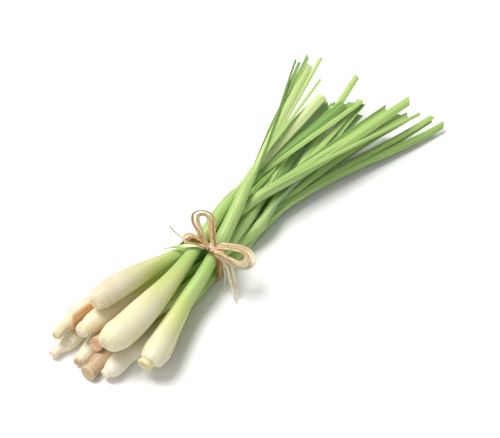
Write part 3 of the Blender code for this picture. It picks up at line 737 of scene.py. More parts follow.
def stalk_skin(name):
    """Ivory bulb to green neck, with lengthwise veins, blotches, a dry sheath where there
    is one, on some only on the lower near side as painted shade, and leaf edges ringed on
    the cut face. What fades along it does so between two distances in millimetres."""
    look, butt, margin = SKINS[name], STALKS[name].butt[0], BODIES[name].margin
    f = Finish(name + "_skin")
    veins = f.noise(f.vector(f.u * 46.0, f.v * 0.03), detail=4.0, rough=0.6)
    broad = f.noise(f.vector(f.u * 5.0, f.v * 0.015))
    blotch = f.noise(f.spot, scale=70.0, detail=3.0)

    # Greener towards the tie, along a front that the veins make uneven
    where = f.v + (broad - 0.5) * 60.0 + (veins - 0.5) * 14.0
    begins, full = look.green_from, look.green_full
    skin = f.mix(f.rise(blotch, 0.35, 0.7), CREAM, look.pale)
    skin = f.mix(f.rise(where, begins - 16.0, begins + 22.0), skin, YELLOW_GREEN)
    skin = f.mix(f.rise(where, begins + 10.0, full + 8.0), skin, SHEATH_GREEN)
    skin = f.mix(f.rise(where, full - 6.0, full + 28.0) * 0.7, skin, FRESH_GREEN)
    skin = f.mix(f.rise(veins, 0.5, 0.72) * 0.25, skin, VEIN_STRAW)

    # The dry layer: all round it, or more on the lower near side, where it is also painted shade,
    # in brown fibres
    layer = 1.0 - f.rise(f.v.math("ABSOLUTE", f.shade - look.dry_layer), 0.05, 0.08)
    dry_and_shade = layer * (1.0 - f.rise(where, look.dry_ends - 22.0, look.dry_ends + 10.0))
    # Painted shade: a one-sided dry tint is kept to the lower near side, which faces away from the
    # light
    own_margin = INNER_MARGIN if look.dry_layer <= INNER_SHADE else 0.0
    turned = math.radians(margin - SHADED_NEAR_SIDE + own_margin)
    shaded_near_side = f.rise(f.v.math("COSINE", f.u * (2.0 * math.pi) + turned), -0.1, 0.5)
    dry_and_shade = dry_and_shade * (shaded_near_side * look.one_side + (1.0 - look.one_side))
    dry_and_shade = dry_and_shade * (f.rise(broad, 0.25, 0.6) * 0.4 + 0.6)
    fibres = f.mix(f.rise(veins, 0.38, 0.66) * 0.7, look.dry, f.mix(0.35, look.dry, DRY_BROWN))
    skin = f.mix(dry_and_shade, skin, fibres)

    # Stained near the butt, then the stub of the inner roll, and its cut face
    stain = (1.0 - f.rise(f.v, butt + 1.0, butt + 10.0)) * f.rise(blotch, 0.35, 0.65)
    skin = f.mix(stain * 0.3, skin, STAIN)
    stub = (1.0 - f.rise(f.shade, 0.32, 0.4)) * (1.0 - f.rise(f.v, butt + 5.0, butt + 14.0))
    skin = f.mix(stub * 0.75, skin, look.cut)
    face = 1.0 - f.rise(f.v, FACE_V + FACE_RUN + 5.0, FACE_V + FACE_RUN + 6.0)
    ring = f.rise(f.v.math("FRACT", f.v * 0.28 + blotch), 0.35, 0.75)
    skin = f.mix(face, skin, f.mix(ring * look.ringed, look.cut, f.mix(0.5, look.cut, RING_RED)))
    f.coat(0.08, 0.3)
    return f.wear(base=skin, roughness=f.rise(veins, 0.2, 0.9) * 0.2 + 0.42,
                  bump=veins + blotch * 0.5, strength=0.25)


for name in STALKS:
    body, skin = BODIES[name], Skin()
    inner_roll(skin, name)
    outer_sheath(skin, name, body.inner, body.inner_slant, body.slant_turn + INNER_SLANT_TURN,
                 INNER_SINK, body.margin + INNER_MARGIN, body.twist,
                 max(0.0, body.flare - LIP_HEIGHT), INNER_SHADE)
    outer_sheath(skin, name, body.outer, body.outer_slant, body.slant_turn,
                 OUTER_SINK, body.margin, body.twist, body.flare, OUTER_SHADE)
    skin.to_piece(name + "_body", stalk_skin(name), "lemongrass", [name])


# ---------------------------------------------------------------------------------------
# Leaf blades: past the tie each leaf is still a tube round the ones inside it. Its margins
# part along a slant, it opens to a fold, and goes on nearly straight as a long blade
# that was cropped across. Every blade has its own tip, width, roll, fold and green.
# ---------------------------------------------------------------------------------------
LEAF_THICK = 0.34
LEAF_LIFT = 0.02        # height over the board that none of a leaf is under
EDGE_SHARE = 0.3        # share of its thickness that a leaf or ribbon has at its margins
KEEL = 0.3              # how far the midrib stands out
KEEL_WIDTH = 0.09       # its half width, as a share of the leaf's
LEAF_COLS, BLADE_ROWS = 14, 46
TUBE_ROW = 2.4          # spacing of the rows of the tube
TUBE_STARTS = -2.5      # under the band
TUCK = 1.1              # how much slimmer a tube starts there
TUCK_RUN = 12.0         # and over what length it isn't any more
LAYER_BASE = -0.25      # radius of the innermost tube over the stem's
LAYER_STEP = 0.14       # and of each further one over the last
TUBE_PARTS = 52.0       # length over which a tube's margins part
TUBE_SPAN = 180.0       # degrees from midrib to margin before that
PARTED_SPAN = 52.0      # and after it
OPENS_AT = 42.0         # past the tie, where the outermost leaf opens
OPENS_OVER = 26.0       # how much further on the innermost one does
OPENS_EARLY = 8.0       # how far before that place it starts to become a folded blade
OPENING = 26.0          # and over what length it does
WIDTH_THERE = 8.4       # width of every leaf where it opens
WIDTH_EARLY = 4.0       # how far before that place it starts to become its own
WIDTH_RUN = 32.0        # and over what length it does
FOLD_THERE = 58.0       # degrees that every leaf is folded where it opens
FOLD_UNTIL = 0.55       # share of a blade over which that becomes its tip's own
RIB_ROUND = 0.012       # how rounded the fold is at the midrib
RIB_SINK = 0.11         # what that adds there, which is taken off again
LEAVES_ALONG = 0.5      # how strongly a blade goes on along its stem at first
ENDS_STRAIGHT = 1.04    # and how strongly it heads for its tip at the end
TIP_NARROWS = 0.12      # share of its width that a blade loses towards its tip
SPREAD = 14.0           # degrees that a tube is turned at random, either way
TIP_SPREAD = 9.0        # and a blade's tip
BOW = 1.4               # how far a blade bows at random, either way
CROP = 0.35             # how slanting its crop is at most, as a share of its width

# Shares of a blade at which its roll, its narrowing and its crop start, and their lengths
ROLL_RUN, TIP_RUN, CROP_RUN = (0.05, 0.7), (0.7, 0.3), (0.9, 0.1)
draw = np.random.default_rng(7)

# For each leaf of a stalk, from the outermost inwards: the tip (x, y, z), width, roll of
# its face in degrees from level (90 is up), fold at the tip in degrees, and tone of
# green from 0, pale yellow, to 1, dull and deep
LEAVES = {
    "stalk_front": [((180, 40.5, 55), 6.0, 112, 14, 0.22), ((173, 49, 60), 3.4, 150, 30, 0.74),
                    ((194, 40, 54), 4.6, 95, 24, 0.20), ((184, 46, 58), 4.0, -60, 22, 0.50),
                    ((177, 27.5, 50), 4.4, 70, 25, 0.40),
                    ((174, 46.5, 58), 3.4, -90, 20, 0.70), ((172, 35, 51), 3.4, 100, 20, 0.30)],
    "stalk_brown": [((172, 16, 34), 8.6, 105, 14, 0.84), ((155, 15, 37), 5.5, 120, 30, 0.3),
                    ((178, 11, 31), 6.0, -80, 20, 0.64), ((169, 8, 30), 6.0, 95, 20, 0.95)],
    "stalk_top": [((165, 15.6, 47.5), 9.4, 98, 20, 0.10), ((179, 4, 36), 8.6, 112, 14, 0.78),
                  ((168, 13, 40), 6.4, 95, 18, 0.9), ((193, -4, 34), 6.0, 80, 22, 0.40),
                  ((186, 1, 33), 6.0, -95, 20, 0.66), ((172, 9, 35), 6.0, 105, 26, 0.3)],
    "stalk_thin": [((212, 15, 36), 6.0, 105, 18, 0.34), ((194, -1, 32), 6.4, 85, 20, 0.38),
                   ((193, -5, 30), 5.4, -70, 24, 0.58), ((185, -7.5, 26), 7.6, 105, 14, 0.98),
                   ((178, -4, 24), 6.0, -80, 22, 0.6)],
    "stalk_under": [((193, -2, 16), 6.8, 100, 16, 0.95), ((168, -2, 10), 6.5, 100, 16, 0.56),
                    ((160, 1, 12), 6.0, -80, 22, 0.7), ((184, 0, 12), 6.0, 80, 18, 0.62),
                    ((163, -5, 14), 6.0, 110, 18, 0.84)],
    "stalk_middle": [((206, -32, 26), 7.4, 105, 16, 0.45), ((200, -22, 30), 5.6, -70, 26, 0.6),
                     ((195, -18, 24), 6.6, 90, 18, 0.40), ((201, -26, 20), 6.6, 80, 22, 0.72)],
    "stalk_upper": [((216, -34, 36), 9.2, 112, 28, 0.40), ((213, -33, 33), 6.4, 80, 26, 0.36),
                    ((200, -22, 31), 6.0, -60, 30, 0.56), ((215, -46, 29), 3.8, 120, 30, 0.42),
                    ((209, -38, 27), 6.6, 95, 18, 0.44)],
    "stalk_sheathed": [((210, -36, 20), 7.2, 110, 16, 0.62), ((207, -30, 16), 6.6, -75, 20, 0.70),
                       ((199, -25, 12), 6.6, 90, 18, 0.78), ((203, -31, 14), 5.6, 80, 22, 0.66)],
    "stalk_low": [((233, -48, 14), 6.4, 95, 22, 0.42), ((237, -58, 7), 6.8, 125, 20, 0.52),
                  ((231, -49, 11), 5.0, -70, 28, 0.36), ((228, -53, 5), 6.0, 85, 18, 0.72)],
    "stalk_far": [((192, 22, 15), 6.2, 100, 18, 0.6), ((183, 26, 15), 5.6, 80, 22, 0.5),
                  ((186, 17, 17), 6.6, -85, 18, 0.72), ((178, 21, 12), 5.6, 105, 18, 0.62)],
}


def direction(turn, side, up):
    """Unit directions at an angle round the stem, in degrees from its side."""
    turn = np.radians(turn)[..., None]
    return np.cos(turn) * side + np.sin(turn) * up


def leaf_route(stalk, place, tip, turn, opens):
    """The midrib of a leaf that opens at x = opens: along the tube on the side that `turn`
    says, then a cubic to its tip. Also the stem's middle beside each of its points, and
    their x, which for the tube are the middle's own."""
    tube = np.arange(TUBE_STARTS, opens, TUBE_ROW)
    points, tangents = on_line(place, np.append(tube, opens))
    side, up = across_line(tangents)
    out = direction(np.full(len(tube) + 1, turn), side, up)
    begin = points[-1] + stem_radius(stalk, np.array([opens]))[0] * out[-1]
    end = np.array(tip, dtype=float)
    leaving = tangents[-1] * np.linalg.norm(end - begin) * LEAVES_ALONG
    arriving = (end - begin) * ENDS_STRAIGHT
    t = np.linspace(0.0, 1.0, BLADE_ROWS)[:, None]
    blade = cubic(t, begin, end, leaving, arriving)
    rib = np.concatenate([points[:-1] + stem_radius(stalk, tube)[:, None] * out[:-1], blade])
    axis = np.concatenate([points[:-1], on_line(place, blade[:, 0])[0]])
    return rib, axis, np.concatenate([tube, blade[:, 0]])


def over(share, run):
    """Smooth step over a run of a blade, given by its start and its length."""
    return ease((share - run[0]) / run[1])


def leaf_blade(skin, name, index):
    """One leaf. Across it s runs from -1 to 1. Wrapped, a point is at an angle s x span
    on the tube of that layer, and the span falls as the margins part. Open, it is on a V
    with a rounded midrib, rib + s half (cos fold across) - |s| half sin fold face. The
    two are mixed along the leaf, and the sheet is then given its thickness."""
    stalk, leaves = STALKS[name], LEAVES[name]
    tip, width, roll, tip_fold, tone = leaves[index]
    opens = OPENS_AT + OPENS_OVER * index / (len(leaves) - 1)
    turn = roll + draw.uniform(-SPREAD, SPREAD)
    bow = draw.uniform(-BOW, BOW, 2)
    final = roll + draw.uniform(-TIP_SPREAD, TIP_SPREAD)
    crop = draw.uniform(-CROP, CROP) * width

    rib, axis, x = leaf_route(stalk, PLACES[name], tip, turn, opens)
    tangents = unit(np.gradient(rib, axis=0))
    side, up = across_line(tangents)
    beyond = np.clip((x - opens) / (tip[0] - opens), 0.0, 1.0)
    rib = rib + (np.sin(math.pi * beyond) ** 2)[:, None] * (bow[0] * side + bow[1] * up)
    rib, axis = rib + arched(name, x), axis + arched(name, x)

    # The wrapped leaf
    s = np.linspace(-1.0, 1.0, LEAF_COLS + 1)[None, :, None]
    out = direction(np.full(len(x), turn), side, up)
    beside = direction(np.full(len(x), turn + 90.0), side, up)
    parted = ease((x - opens + TUBE_PARTS) / TUBE_PARTS)
    span = np.radians(TUBE_SPAN - (TUBE_SPAN - PARTED_SPAN) * parted)
    radius = stem_radius(stalk, x) + (LAYER_STEP * (len(leaves) - 1 - index) + LAYER_BASE)
    radius -= TUCK * (1.0 - ease((x - TUBE_STARTS) / TUCK_RUN))
    angle = span[:, None, None] * s
    wrapped = axis[:, None] + radius[:, None, None] * (np.cos(angle) * out[:, None]
                                                       + np.sin(angle) * beside[:, None])

    # The open one, whose face rolls on from the tube's side to its own way at the tip
    twist = ((final - turn + 180.0) % 360.0 - 180.0) * over(beyond, ROLL_RUN)
    face = direction(turn + twist, side, up)
    across = direction(turn + twist + 90.0, side, up)
    own = ease((x - opens + WIDTH_EARLY) / WIDTH_RUN)
    half = 0.5 * (WIDTH_THERE + (width - WIDTH_THERE) * own)[:, None, None]
    half = half * (1.0 - TIP_NARROWS * over(beyond, TIP_RUN))[:, None, None]
    fold = FOLD_THERE + (tip_fold - FOLD_THERE) * ease(beyond / FOLD_UNTIL)
    fold = np.radians(fold)[:, None, None]
    bend = np.sqrt(s ** 2 + RIB_ROUND) - RIB_SINK
    open_leaf = rib[:, None] + half * (s * np.cos(fold) * across[:, None]
                                       - bend * np.sin(fold) * face[:, None])

    opening = ease((x - opens + OPENS_EARLY) / OPENING)[:, None, None]
    middle = wrapped * (1.0 - opening) + open_leaf * opening
    middle = middle + crop * s * over(beyond, CROP_RUN)[:, None, None] * tangents[:, None]
    normal = unit(np.cross(np.gradient(middle, axis=0), np.gradient(middle, axis=1)))
    keel = KEEL * np.exp(-(s / KEEL_WIDTH) ** 2) * opening
    lens = np.sqrt(np.clip(1.0 - s ** 4, 0.0, 1.0))
    thick = 0.5 * LEAF_THICK * (EDGE_SHARE + (1.0 - EDGE_SHARE) * lens)
    skin.add_sheet(middle + normal * (thick + keel), middle - normal * thick, s[0, :, 0], x,
                   LEAF_LIFT, tone)


# Greens of the leaves, from pale yellow to dull and deep, and of what runs along them
TONES = [(0.0, colour(230, 242, 184)), (0.25, colour(196, 222, 134)),
         (0.5, colour(163, 199, 107)), (0.75, colour(124, 170, 78)), (1.0, colour(126, 158, 112))]
DEEP_VEIN = colour(84, 132, 44)
PALE_VEIN = colour(226, 238, 180)
MIDRIB = colour(206, 228, 150)
MARGIN_HIGHLIGHT = colour(220, 234, 170)


def leaf_finish():
    """Parallel veins, a pale midrib, margins paled as a painted highlight, and paler where the
    leaf is a sheath.
    """
    f = Finish("leaf_green")
    veins = f.noise(f.vector(f.u * 9.0 + f.shade * 31.0, f.v * 0.018), detail=3.0, rough=0.65)
    patch = f.noise(f.vector(f.u * 1.2 + f.shade * 57.0, f.v * 0.03))
    side = f.u.math("ABSOLUTE", f.u)
    green = add_node(f.tree, "ShaderNodeValToRGB", {"stops": TONES},
                     {0: f.shade + (patch - 0.5) * 0.18})
    green = f.mix(1.0 - f.rise(f.v + (patch - 0.5) * 40.0, 24.0, 100.0), green, SHEATH_GREEN)
    green = f.mix(f.rise(veins, 0.44, 0.7) * 0.3, green, f.mix(0.45, green, DEEP_VEIN))
    green = f.mix((1.0 - f.rise(veins, 0.3, 0.46)) * 0.3, green, PALE_VEIN)
    green = f.mix((1.0 - f.rise(side, 0.03, 0.10)) * 0.5, green, MIDRIB)
    # Painted highlight: both margins are paled as if lit along their edges
    green = f.mix(f.rise(side, 0.88, 0.99) * 0.55, green, MARGIN_HIGHLIGHT)
    f.coat(0.15, 0.3)
    return f.wear(base=green, roughness=f.rise(veins, 0.2, 0.9) * 0.15 + 0.36,
                  bump=veins, strength=0.35)


LEAF_GREEN = leaf_finish()
for name in LEAVES:
    leaves = Skin()
    for index in range(len(LEAVES[name])):
        leaf_blade(leaves, name, index)
    leaves.to_piece(name + "_leaves", LEAF_GREEN, "lemongrass", [name], sharp=60.0)


# ---------------------------------------------------------------------------------------
# Torn strips of leaf sheath, still grown on their stalks: one broad pale strip torn loose
# from the top stalk at the tie, and one thin dark leaf end that sticks up behind it.
# ---------------------------------------------------------------------------------------
STRIP_THICK = 0.5
STRIP_WAVE = 14.0       # degrees that it turns to and fro
STRIP_CURL = 0.35       # how cupped it is
STRIP_SPACING = 1.0     # of the points that it is made along
CURVE_STEPS = 20        # points on a curve from one point of a route to the next
RIBBON_COLS = 6
RIBBON_LIFT = 0.05      # height over the board that none of a ribbon is under

# Stalk, half width at the start and at the end, shares of the length between which it
# narrows, the direction that its width is square to, its shade, and the route
Strip = namedtuple("Strip", "stalk half end narrows level shade route")
STRIPS = {
    "torn_strip": Strip("stalk_top", 1.9, 0.3, (0.55, 0.9), (0.0, 0.2, 1.0), 0.0,
                        [(2, -9, 34.6), (-2, -6.8, 36.2), (-6, -2.2, 36.6), (-10, 2.8, 36),
                         (-14, 8, 34.4), (-20.4, 15.7, 31.2)]),
    "leaf_end": Strip("stalk_sheathed", 2.0, 0.55, (0.25, 0.5), (0.7, -0.5, 0.6), 1.0,
                      [(-1.5, 6, 27), (-3, 11, 28.6), (-3.4, 15, 29.6), (-3.6, 20, 31.6),
                       (-3.8, 25, 34.2)]),
}


def run_along(path):
    """Distance along a path at each of its points."""
    return np.concatenate([[0.0], np.cumsum(np.linalg.norm(np.diff(path, axis=0), axis=1))])


def smooth_route(points, spacing):
    """Evenly spaced points on the Catmull-Rom curve through a route's own points."""
    p = np.array(points, dtype=float)
    p = np.vstack([2.0 * p[0] - p[1], p, 2.0 * p[-1] - p[-2]])
    t = np.linspace(0.0, 1.0, CURVE_STEPS, endpoint=False)[:, None]
    runs = []
    for a, b, c, d in zip(p, p[1:], p[2:], p[3:]):
        runs.append(0.5 * (2.0 * b + (c - a) * t + (2.0 * a - 5.0 * b + 4.0 * c - d) * t ** 2
                           + (3.0 * b - 3.0 * c + d - a) * t ** 3))
    fine = np.vstack(runs + [p[-2:-1]])
    run = run_along(fine)
    at = np.linspace(0.0, run[-1], max(4, round(run[-1] / spacing)) + 1)
    return np.column_stack([np.interp(at, run, fine[:, c]) for c in range(3)])


def ribbon(skin, path, flat, half, thick, turn, curl, shade):
    """A flat strand along a path, its width towards `flat`: across it, s half flat + curl
    half (s^2 - 0.4) up, turned about the path by `turn` degrees, with a thin lens-shaped
    section."""
    along = unit(np.gradient(path, axis=0))
    flat = unit(flat - along * (flat * along).sum(1, keepdims=True))
    up = np.cross(along, flat)
    turn = np.radians(np.broadcast_to(turn, len(path)))[:, None]
    flat, up = (np.cos(turn) * flat + np.sin(turn) * up, np.cos(turn) * up - np.sin(turn) * flat)
    s = np.linspace(-1.0, 1.0, RIBBON_COLS + 1)[None, :, None]
    half = np.broadcast_to(half, len(path))[:, None, None]
    thick = 0.5 * thick * (EDGE_SHARE + (1.0 - EDGE_SHARE) * (1.0 - s ** 2))
    middle = path[:, None] + half * (s * flat[:, None] + curl * (s ** 2 - 0.4) * up[:, None])
    tilt = unit(up[:, None] - 2.0 * curl * s * flat[:, None])
    skin.add_sheet(middle + thick * tilt, middle - thick * tilt, s[0, :, 0], run_along(path),
                   RIBBON_LIFT, shade)


def torn_finish():
    """Pale to green along the broad strip (shade 0), yellow to olive along the leaf end
    (shade 1), with fibres."""
    f = Finish("torn_sheath")
    fibres = f.noise(f.vector(f.u * 6.0, f.v * 0.08), detail=3.0)
    tone = f.mix(f.rise(f.v, 14.0, 28.0), colour(238, 240, 200), colour(150, 192, 74))
    tone = f.mix(f.rise(fibres, 0.45, 0.7) * 0.35, tone, colour(150, 180, 92))
    needle = f.mix(f.rise(f.v, 6.0, 10.0), colour(222, 232, 130), colour(140, 156, 92))
    tone = f.mix(f.shade, tone, needle)
    return f.wear(base=tone, roughness=0.5, bump=fibres, strength=0.4)


TORN_SHEATH = torn_finish()
for name, strip in STRIPS.items():
    path = smooth_route(strip.route, STRIP_SPACING)
    along = np.linspace(0.0, 1.0, len(path))
    narrow = ease((along - strip.narrows[0]) / (strip.narrows[1] - strip.narrows[0]))
    width = strip.half + (strip.end - strip.half) * narrow
    skin = Skin()
    ribbon(skin, path, np.cross(np.gradient(path, axis=0), strip.level), width, STRIP_THICK,
           STRIP_WAVE * np.sin(5.0 * along), STRIP_CURL, strip.shade)
    skin.to_piece(name, TORN_SHEATH, "lemongrass", [strip.stalk])


# ---------------------------------------------------------------------------------------
# The band: dry strips of raffia, which is palm leaf, straw coloured with browner edges.
# Five turns of it wind round the necks, pulled tight and slanting over one another.
# ---------------------------------------------------------------------------------------
BAND_WIDTH = 6.4
TURN_THICK = 0.5
TURN_CURL = 0.12        # how cupped a turn is
TURN_RIPPLE = 0.12      # how far it rises and falls on its way round
TURN_WAVE = 7.0         # degrees that it turns to and fro
TOUCH_GAP = 0.3         # between the band and the stems
BAND_POINTS = 220       # on one turn
STEM_SECTIONS = 5       # across the band, from which its outline is taken
STEM_POINTS = 48        # round each of them
OUTLINE_BLURS = 6

# Each turn: where its middle crosses the top, how far it slants, half width, lift
TURNS = [(-2.0, 0.5, 1.25, 0.30), (-0.3, -0.9, 1.30, 0.45), (1.9, 0.4, 1.20, 0.30),
         (-1.0, 1.5, 0.95, 0.85), (1.0, -1.6, 0.90, 0.95)]


def raffia_finish(name, pale, straw, brown):
    """Lengthwise fibres between pale and straw, brown along both edges and in flecks."""
    f = Finish(name)
    fibres = f.noise(f.vector(f.u * 5.0 + f.shade * 40.0, f.v * 0.12), detail=4.0, rough=0.7)
    patch = f.noise(f.vector(f.shade * 20.0, f.v * 0.16), detail=1.0)
    side = f.u.math("ABSOLUTE", f.u)
    tone = f.mix(f.rise(fibres + (patch - 0.5) * 0.8, 0.3, 0.7), pale, straw)
    tone = f.mix(f.rise(side + (fibres - 0.5) * 0.7, 0.62, 1.0) * 0.85, tone, brown)
    tone = f.mix(f.rise(patch + f.shade * 0.3, 0.66, 0.9) * 0.6, tone, brown)
    return f.wear(base=tone, roughness=f.rise(fibres, 0.2, 0.8) * 0.2 + 0.5,
                  bump=fibres, strength=0.6)


TAN = raffia_finish("raffia_tan", colour(220, 174, 114), colour(190, 136, 78),
                    colour(112, 68, 34))


def convex_outline(points):
    """Convex hull of plane points, anticlockwise (monotone chain)."""
    points = sorted(map(tuple, points))

    def half(run):
        chain = []
        for p in run:
            while len(chain) > 1:
                (ax, ay), (bx, by) = chain[-2:]
                if (bx - ax) * (p[1] - ay) - (by - ay) * (p[0] - ax) > 0.0:
                    break
                chain.pop()
            chain.append(p)
        return chain[:-1]
    return np.array(half(points) + half(points[::-1]))


def tie_outline():
    """What a thread pulled tight round the necks follows, as a closed even loop."""
    x = np.linspace(-0.6 * BAND_WIDTH, 0.6 * BAND_WIDTH, STEM_SECTIONS)
    turn = np.linspace(0.0, 2.0 * math.pi, STEM_POINTS, endpoint=False)
    x, turn = np.meshgrid(x, turn, indexing="ij")
    dots = [rings_at(PLACES[name], x, turn, stem_radius(stalk, x) + TOUCH_GAP)[..., 1:]
            for name, stalk in STALKS.items()]
    hull = convex_outline(np.concatenate([d.reshape(-1, 2) for d in dots]))
    closed = np.vstack([hull, hull[:1]])
    run = run_along(closed)
    at = np.linspace(0.0, run[-1], BAND_POINTS, endpoint=False)
    loop = np.column_stack([np.interp(at, run, closed[:, c]) for c in range(2)])
    for _ in range(OUTLINE_BLURS):
        loop = (np.roll(loop, 1, 0) + 2.0 * loop + np.roll(loop, -1, 0)) / 4.0
    along = np.roll(loop, -1, axis=0) - np.roll(loop, 1, axis=0)
    return loop, unit(np.column_stack([along[:, 1], -along[:, 0]]))


loop, normals = tie_outline()
lap = np.linspace(0.0, 2.0 * math.pi, len(loop), endpoint=False)
top_of_loop = lap[np.argmax(loop[:, 1])]
band = Skin()
for middle, slant, half, lift in TURNS:
    offset = middle + slant * np.sin(lap - top_of_loop)
    lifted = lift + TURN_RIPPLE * np.sin(3.0 * lap + middle)
    path = np.column_stack([offset, loop + lifted[:, None] * normals])
    path = np.concatenate([path, path[:1]])
    turned = TURN_WAVE * np.sin(2.0 * lap + slant)
    ribbon(band, path, np.tile([1.0, 0.0, 0.0], (len(path), 1)), half, TURN_THICK,
           np.append(turned, turned[0]), TURN_CURL, 0.3 + 0.1 * lift)
band.to_piece("raffia_band_turns", TAN, "raffia", ["raffia_band"])


# ---------------------------------------------------------------------------------------
# The knot: three short folds of the same raffia, pulled over each other. It sits on top
# of the band, on its near side, and leans a little that way.
# ---------------------------------------------------------------------------------------
KNOT_AT = np.array([0.0, -12.2, 34.8])
KNOT_LEAN = math.radians(15.0)
KNOT_RADIUS = (4.6, 4.0, 2.8)   # along the bunch, across it and outwards
FOLDS_AT = KNOT_AT + (0.8, 0.0, 0.6)
FOLD_POINTS = 41
FOLD_THICK = 0.6
FOLD_WAVE = 10.0        # degrees that a fold turns to and fro
FOLD_CURL = -0.15       # how cupped it is, its hollow side in
FOLD_SHADE = 0.2

# Each fold: turn of its plane about the outward direction, shift along x, half width, size
FOLDS = [(8.0, 0.0, 1.9, 0.86), (62.0, 0.6, 1.3, 0.80), (-48.0, -0.6, 1.3, 0.78)]

KNOT_TINT = raffia_finish("raffia_knot", colour(250, 230, 214), colour(234, 196, 162),
                          colour(176, 124, 84))
outward = np.array([0.0, -math.sin(KNOT_LEAN), math.cos(KNOT_LEAN)])
across = np.array([0.0, math.cos(KNOT_LEAN), math.sin(KNOT_LEAN)])
along_x = np.array([1.0, 0.0, 0.0])
lap = np.linspace(0.0, 2.0 * math.pi, FOLD_POINTS)
knot = Skin()
for turned, shift, half, size in FOLDS:
    cos, sin = math.cos(math.radians(turned)), math.sin(math.radians(turned))
    plane = cos * across * KNOT_RADIUS[1] + sin * along_x * KNOT_RADIUS[0]
    rim = -sin * across + cos * along_x
    path = (FOLDS_AT + shift * along_x + size * (np.cos(lap)[:, None] * plane
            + np.sin(lap)[:, None] * outward * KNOT_RADIUS[2]))
    ribbon(knot, path, np.tile(rim, (len(lap), 1)), half, FOLD_THICK, FOLD_WAVE * np.sin(lap),
           FOLD_CURL, FOLD_SHADE)
knot.to_piece("raffia_knot", KNOT_TINT, "raffia", ["raffia_band"])


# ---------------------------------------------------------------------------------------
# The bow: free ends of the same raffia. Five loops leave the knot and come back to it,
# and three tails hang from it to the board. Each is a pair of narrow strips side by side.
# ---------------------------------------------------------------------------------------
STRAND = 2.0            # width of a pair, as a cord
STRAND_POINT = 2.6      # spacing of a cord's points, in its widths
PAIR_SPACING = 0.8      # of the points that a pair is made along
PAIR_THICK = 0.26
PAIR_CURL = 0.3         # how cupped each strip is
PAIR_PARTS = 0.14       # how far a strip strays sideways
PAIR_RISES = 0.3        # and up and down
PAIR_WAVE = 26.0        # degrees that it turns to and fro
PAIR_CROSSES = 14.0     # and that one is turned from the other
TAIL_NARROWS = 0.8      # share of its length from which a tail narrows
TAIL_LOSES = 0.75       # and of its width that it has lost at its end

# Routes: a loop comes back to the knot, and a tail ends cut
STRANDS = {
    "bow_loop_up_outer": [(-1.2, -10.4, 37.8), (-0.8, -5.5, 41.5), (-1.2, -0.5, 47),
                          (-0.5, 4, 53), (2, 5.5, 57.5), (5, 3, 60), (8, -1.5, 60),
                          (9.5, -5.5, 57.5), (8, -8.3, 51.5), (5.8, -9.8, 46), (4, -11, 41.5),
                          (2.7, -11.6, 37.7)],
    "bow_loop_up_inner": [(-3.4, -12.1, 37.8), (-1.8, -8, 43.5), (0, -3, 49.5), (1, 0.5, 54.5),
                          (3, 1.8, 57), (5.5, -0.7, 58.6), (6.8, -3.7, 57.6), (6.2, -5.8, 53.5),
                          (4, -8.3, 48.5), (2, -10.8, 43), (0.3, -13.2, 38.4)],
    "bow_loop_side_outer": [(1.2, -16.6, 34.5), (2, -21.5, 33.2), (1.5, -27.5, 31), (3, -33, 29),
                            (6.5, -38, 28), (11, -39.5, 28), (15, -38, 30), (16, -34, 32.5),
                            (14.5, -29, 34.5), (11, -24, 35.8), (7.5, -18.5, 36.2),
                            (4.8, -14, 35.8)],
    "bow_loop_side_inner": [(-1.4, -16, 36.2), (0, -20.5, 37), (0.5, -25, 36), (1.5, -30.5, 35),
                            (3.5, -35.5, 34.5), (7.5, -37.5, 35), (10.5, -35.5, 36.2),
                            (10, -32, 38), (7, -26.5, 39.2), (4.2, -21, 39.2), (2.3, -15.2, 37)],
    "bow_loop_left": [(-0.6, -7.4, 36.5), (-1, -2.5, 39), (-2.5, 2.5, 40), (-5, 7, 40),
                      (-7, 8.5, 39), (-8.5, 5.5, 38), (-7.5, 0.5, 37.5), (-5.5, -5, 37.2),
                      (-3.6, -8.9, 36.4)],
    "bow_tail_long": [(-1.8, -17.1, 33.7), (-0.7, -21.5, 31.6), (0, -25, 27.5), (-0.3, -28, 22),
                      (-1.5, -30.5, 16), (-3.5, -34, 9.5), (-7.5, -41, 1.6)],
    "bow_tail_middle": [(3.8, -18, 32.4), (3.7, -23, 30), (3.2, -27, 26), (2.4, -30, 20.5),
                        (1, -33, 14), (0, -36, 7.5), (-1.5, -39.5, 1.6)],
    "bow_tail_short": [(1.4, -21.2, 30.2), (1.2, -22.6, 26), (0.4, -23.6, 20), (-0.8, -25, 13),
                       (-2.6, -26, 7), (-6.5, -27.5, 2)],
}

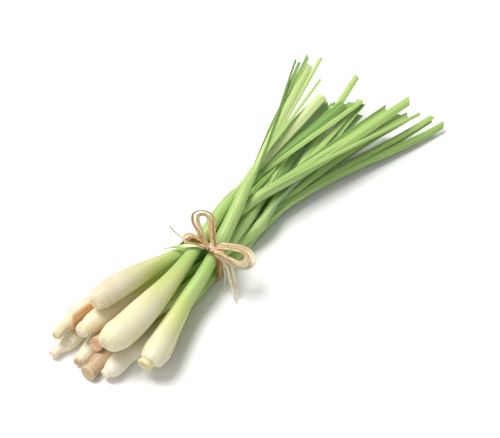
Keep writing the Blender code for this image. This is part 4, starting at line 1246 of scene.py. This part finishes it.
# Half width of each strip of a pair and how far it is from their middle, for most strands
# and for the others
PAIR_WIDTHS = (0.92, 0.72)
OTHER_WIDTHS = {"bow_loop_side_outer": (1.3, 0.9), "bow_tail_long": (0.75, 0.55),
                "bow_tail_middle": (0.75, 0.55), "bow_tail_short": (0.45, 0.3)}

STRAW = raffia_finish("raffia_straw", colour(240, 222, 176), colour(212, 174, 112),
                      colour(142, 94, 44))
CREAM_RAFFIA = raffia_finish("raffia_cream", colour(250, 244, 222), colour(234, 220, 172),
                             colour(166, 130, 72))


def carried_frames(path):
    """Directions square to a path that don't spin round it: each is the one before, less
    what of it lies along the path."""
    along = unit(np.gradient(path, axis=0))
    flat = np.zeros_like(path)
    flat[0] = unit(np.cross(along[0], [0.0, 0.0, 1.0]))
    for i in range(1, len(path)):
        flat[i] = unit(flat[i - 1] - along[i] * (flat[i - 1] @ along[i]))
    return flat, np.cross(along, flat)


for number, (name, route) in enumerate(STRANDS.items()):
    path = smooth_route(route, STRAND_POINT * STRAND)
    fine = smooth_route(path, PAIR_SPACING)
    along = np.linspace(0.0, 1.0, len(fine))
    flat, up = carried_frames(fine)
    tail = "tail" in name
    half, apart = OTHER_WIDTHS.get(name, PAIR_WIDTHS)
    narrow = ease((along - TAIL_NARROWS) / (1.0 - TAIL_NARROWS)) if tail else 0.0 * along
    point = 1.0 - TAIL_LOSES * narrow
    strand = Skin()
    for k in range(2):
        part = (apart + PAIR_PARTS * np.sin(9.0 * along + 2.0 * k + number)) * (1 - 2 * k)
        rise = PAIR_RISES * np.sin(6.0 * along + 1.7 * k + number)
        line = fine + (part * point)[:, None] * flat + rise[:, None] * up
        turn = PAIR_WAVE * np.sin(4.0 * along + 1.3 * k + number) + PAIR_CROSSES * k
        ribbon(strand, line, flat, half * point, PAIR_THICK, turn, PAIR_CURL, 0.15 + 0.4 * k)
    tint = CREAM_RAFFIA if tail or name == "bow_loop_side_outer" else STRAW
    piece = strand.to_piece(name + "_raffia", tint, "raffia", [name])
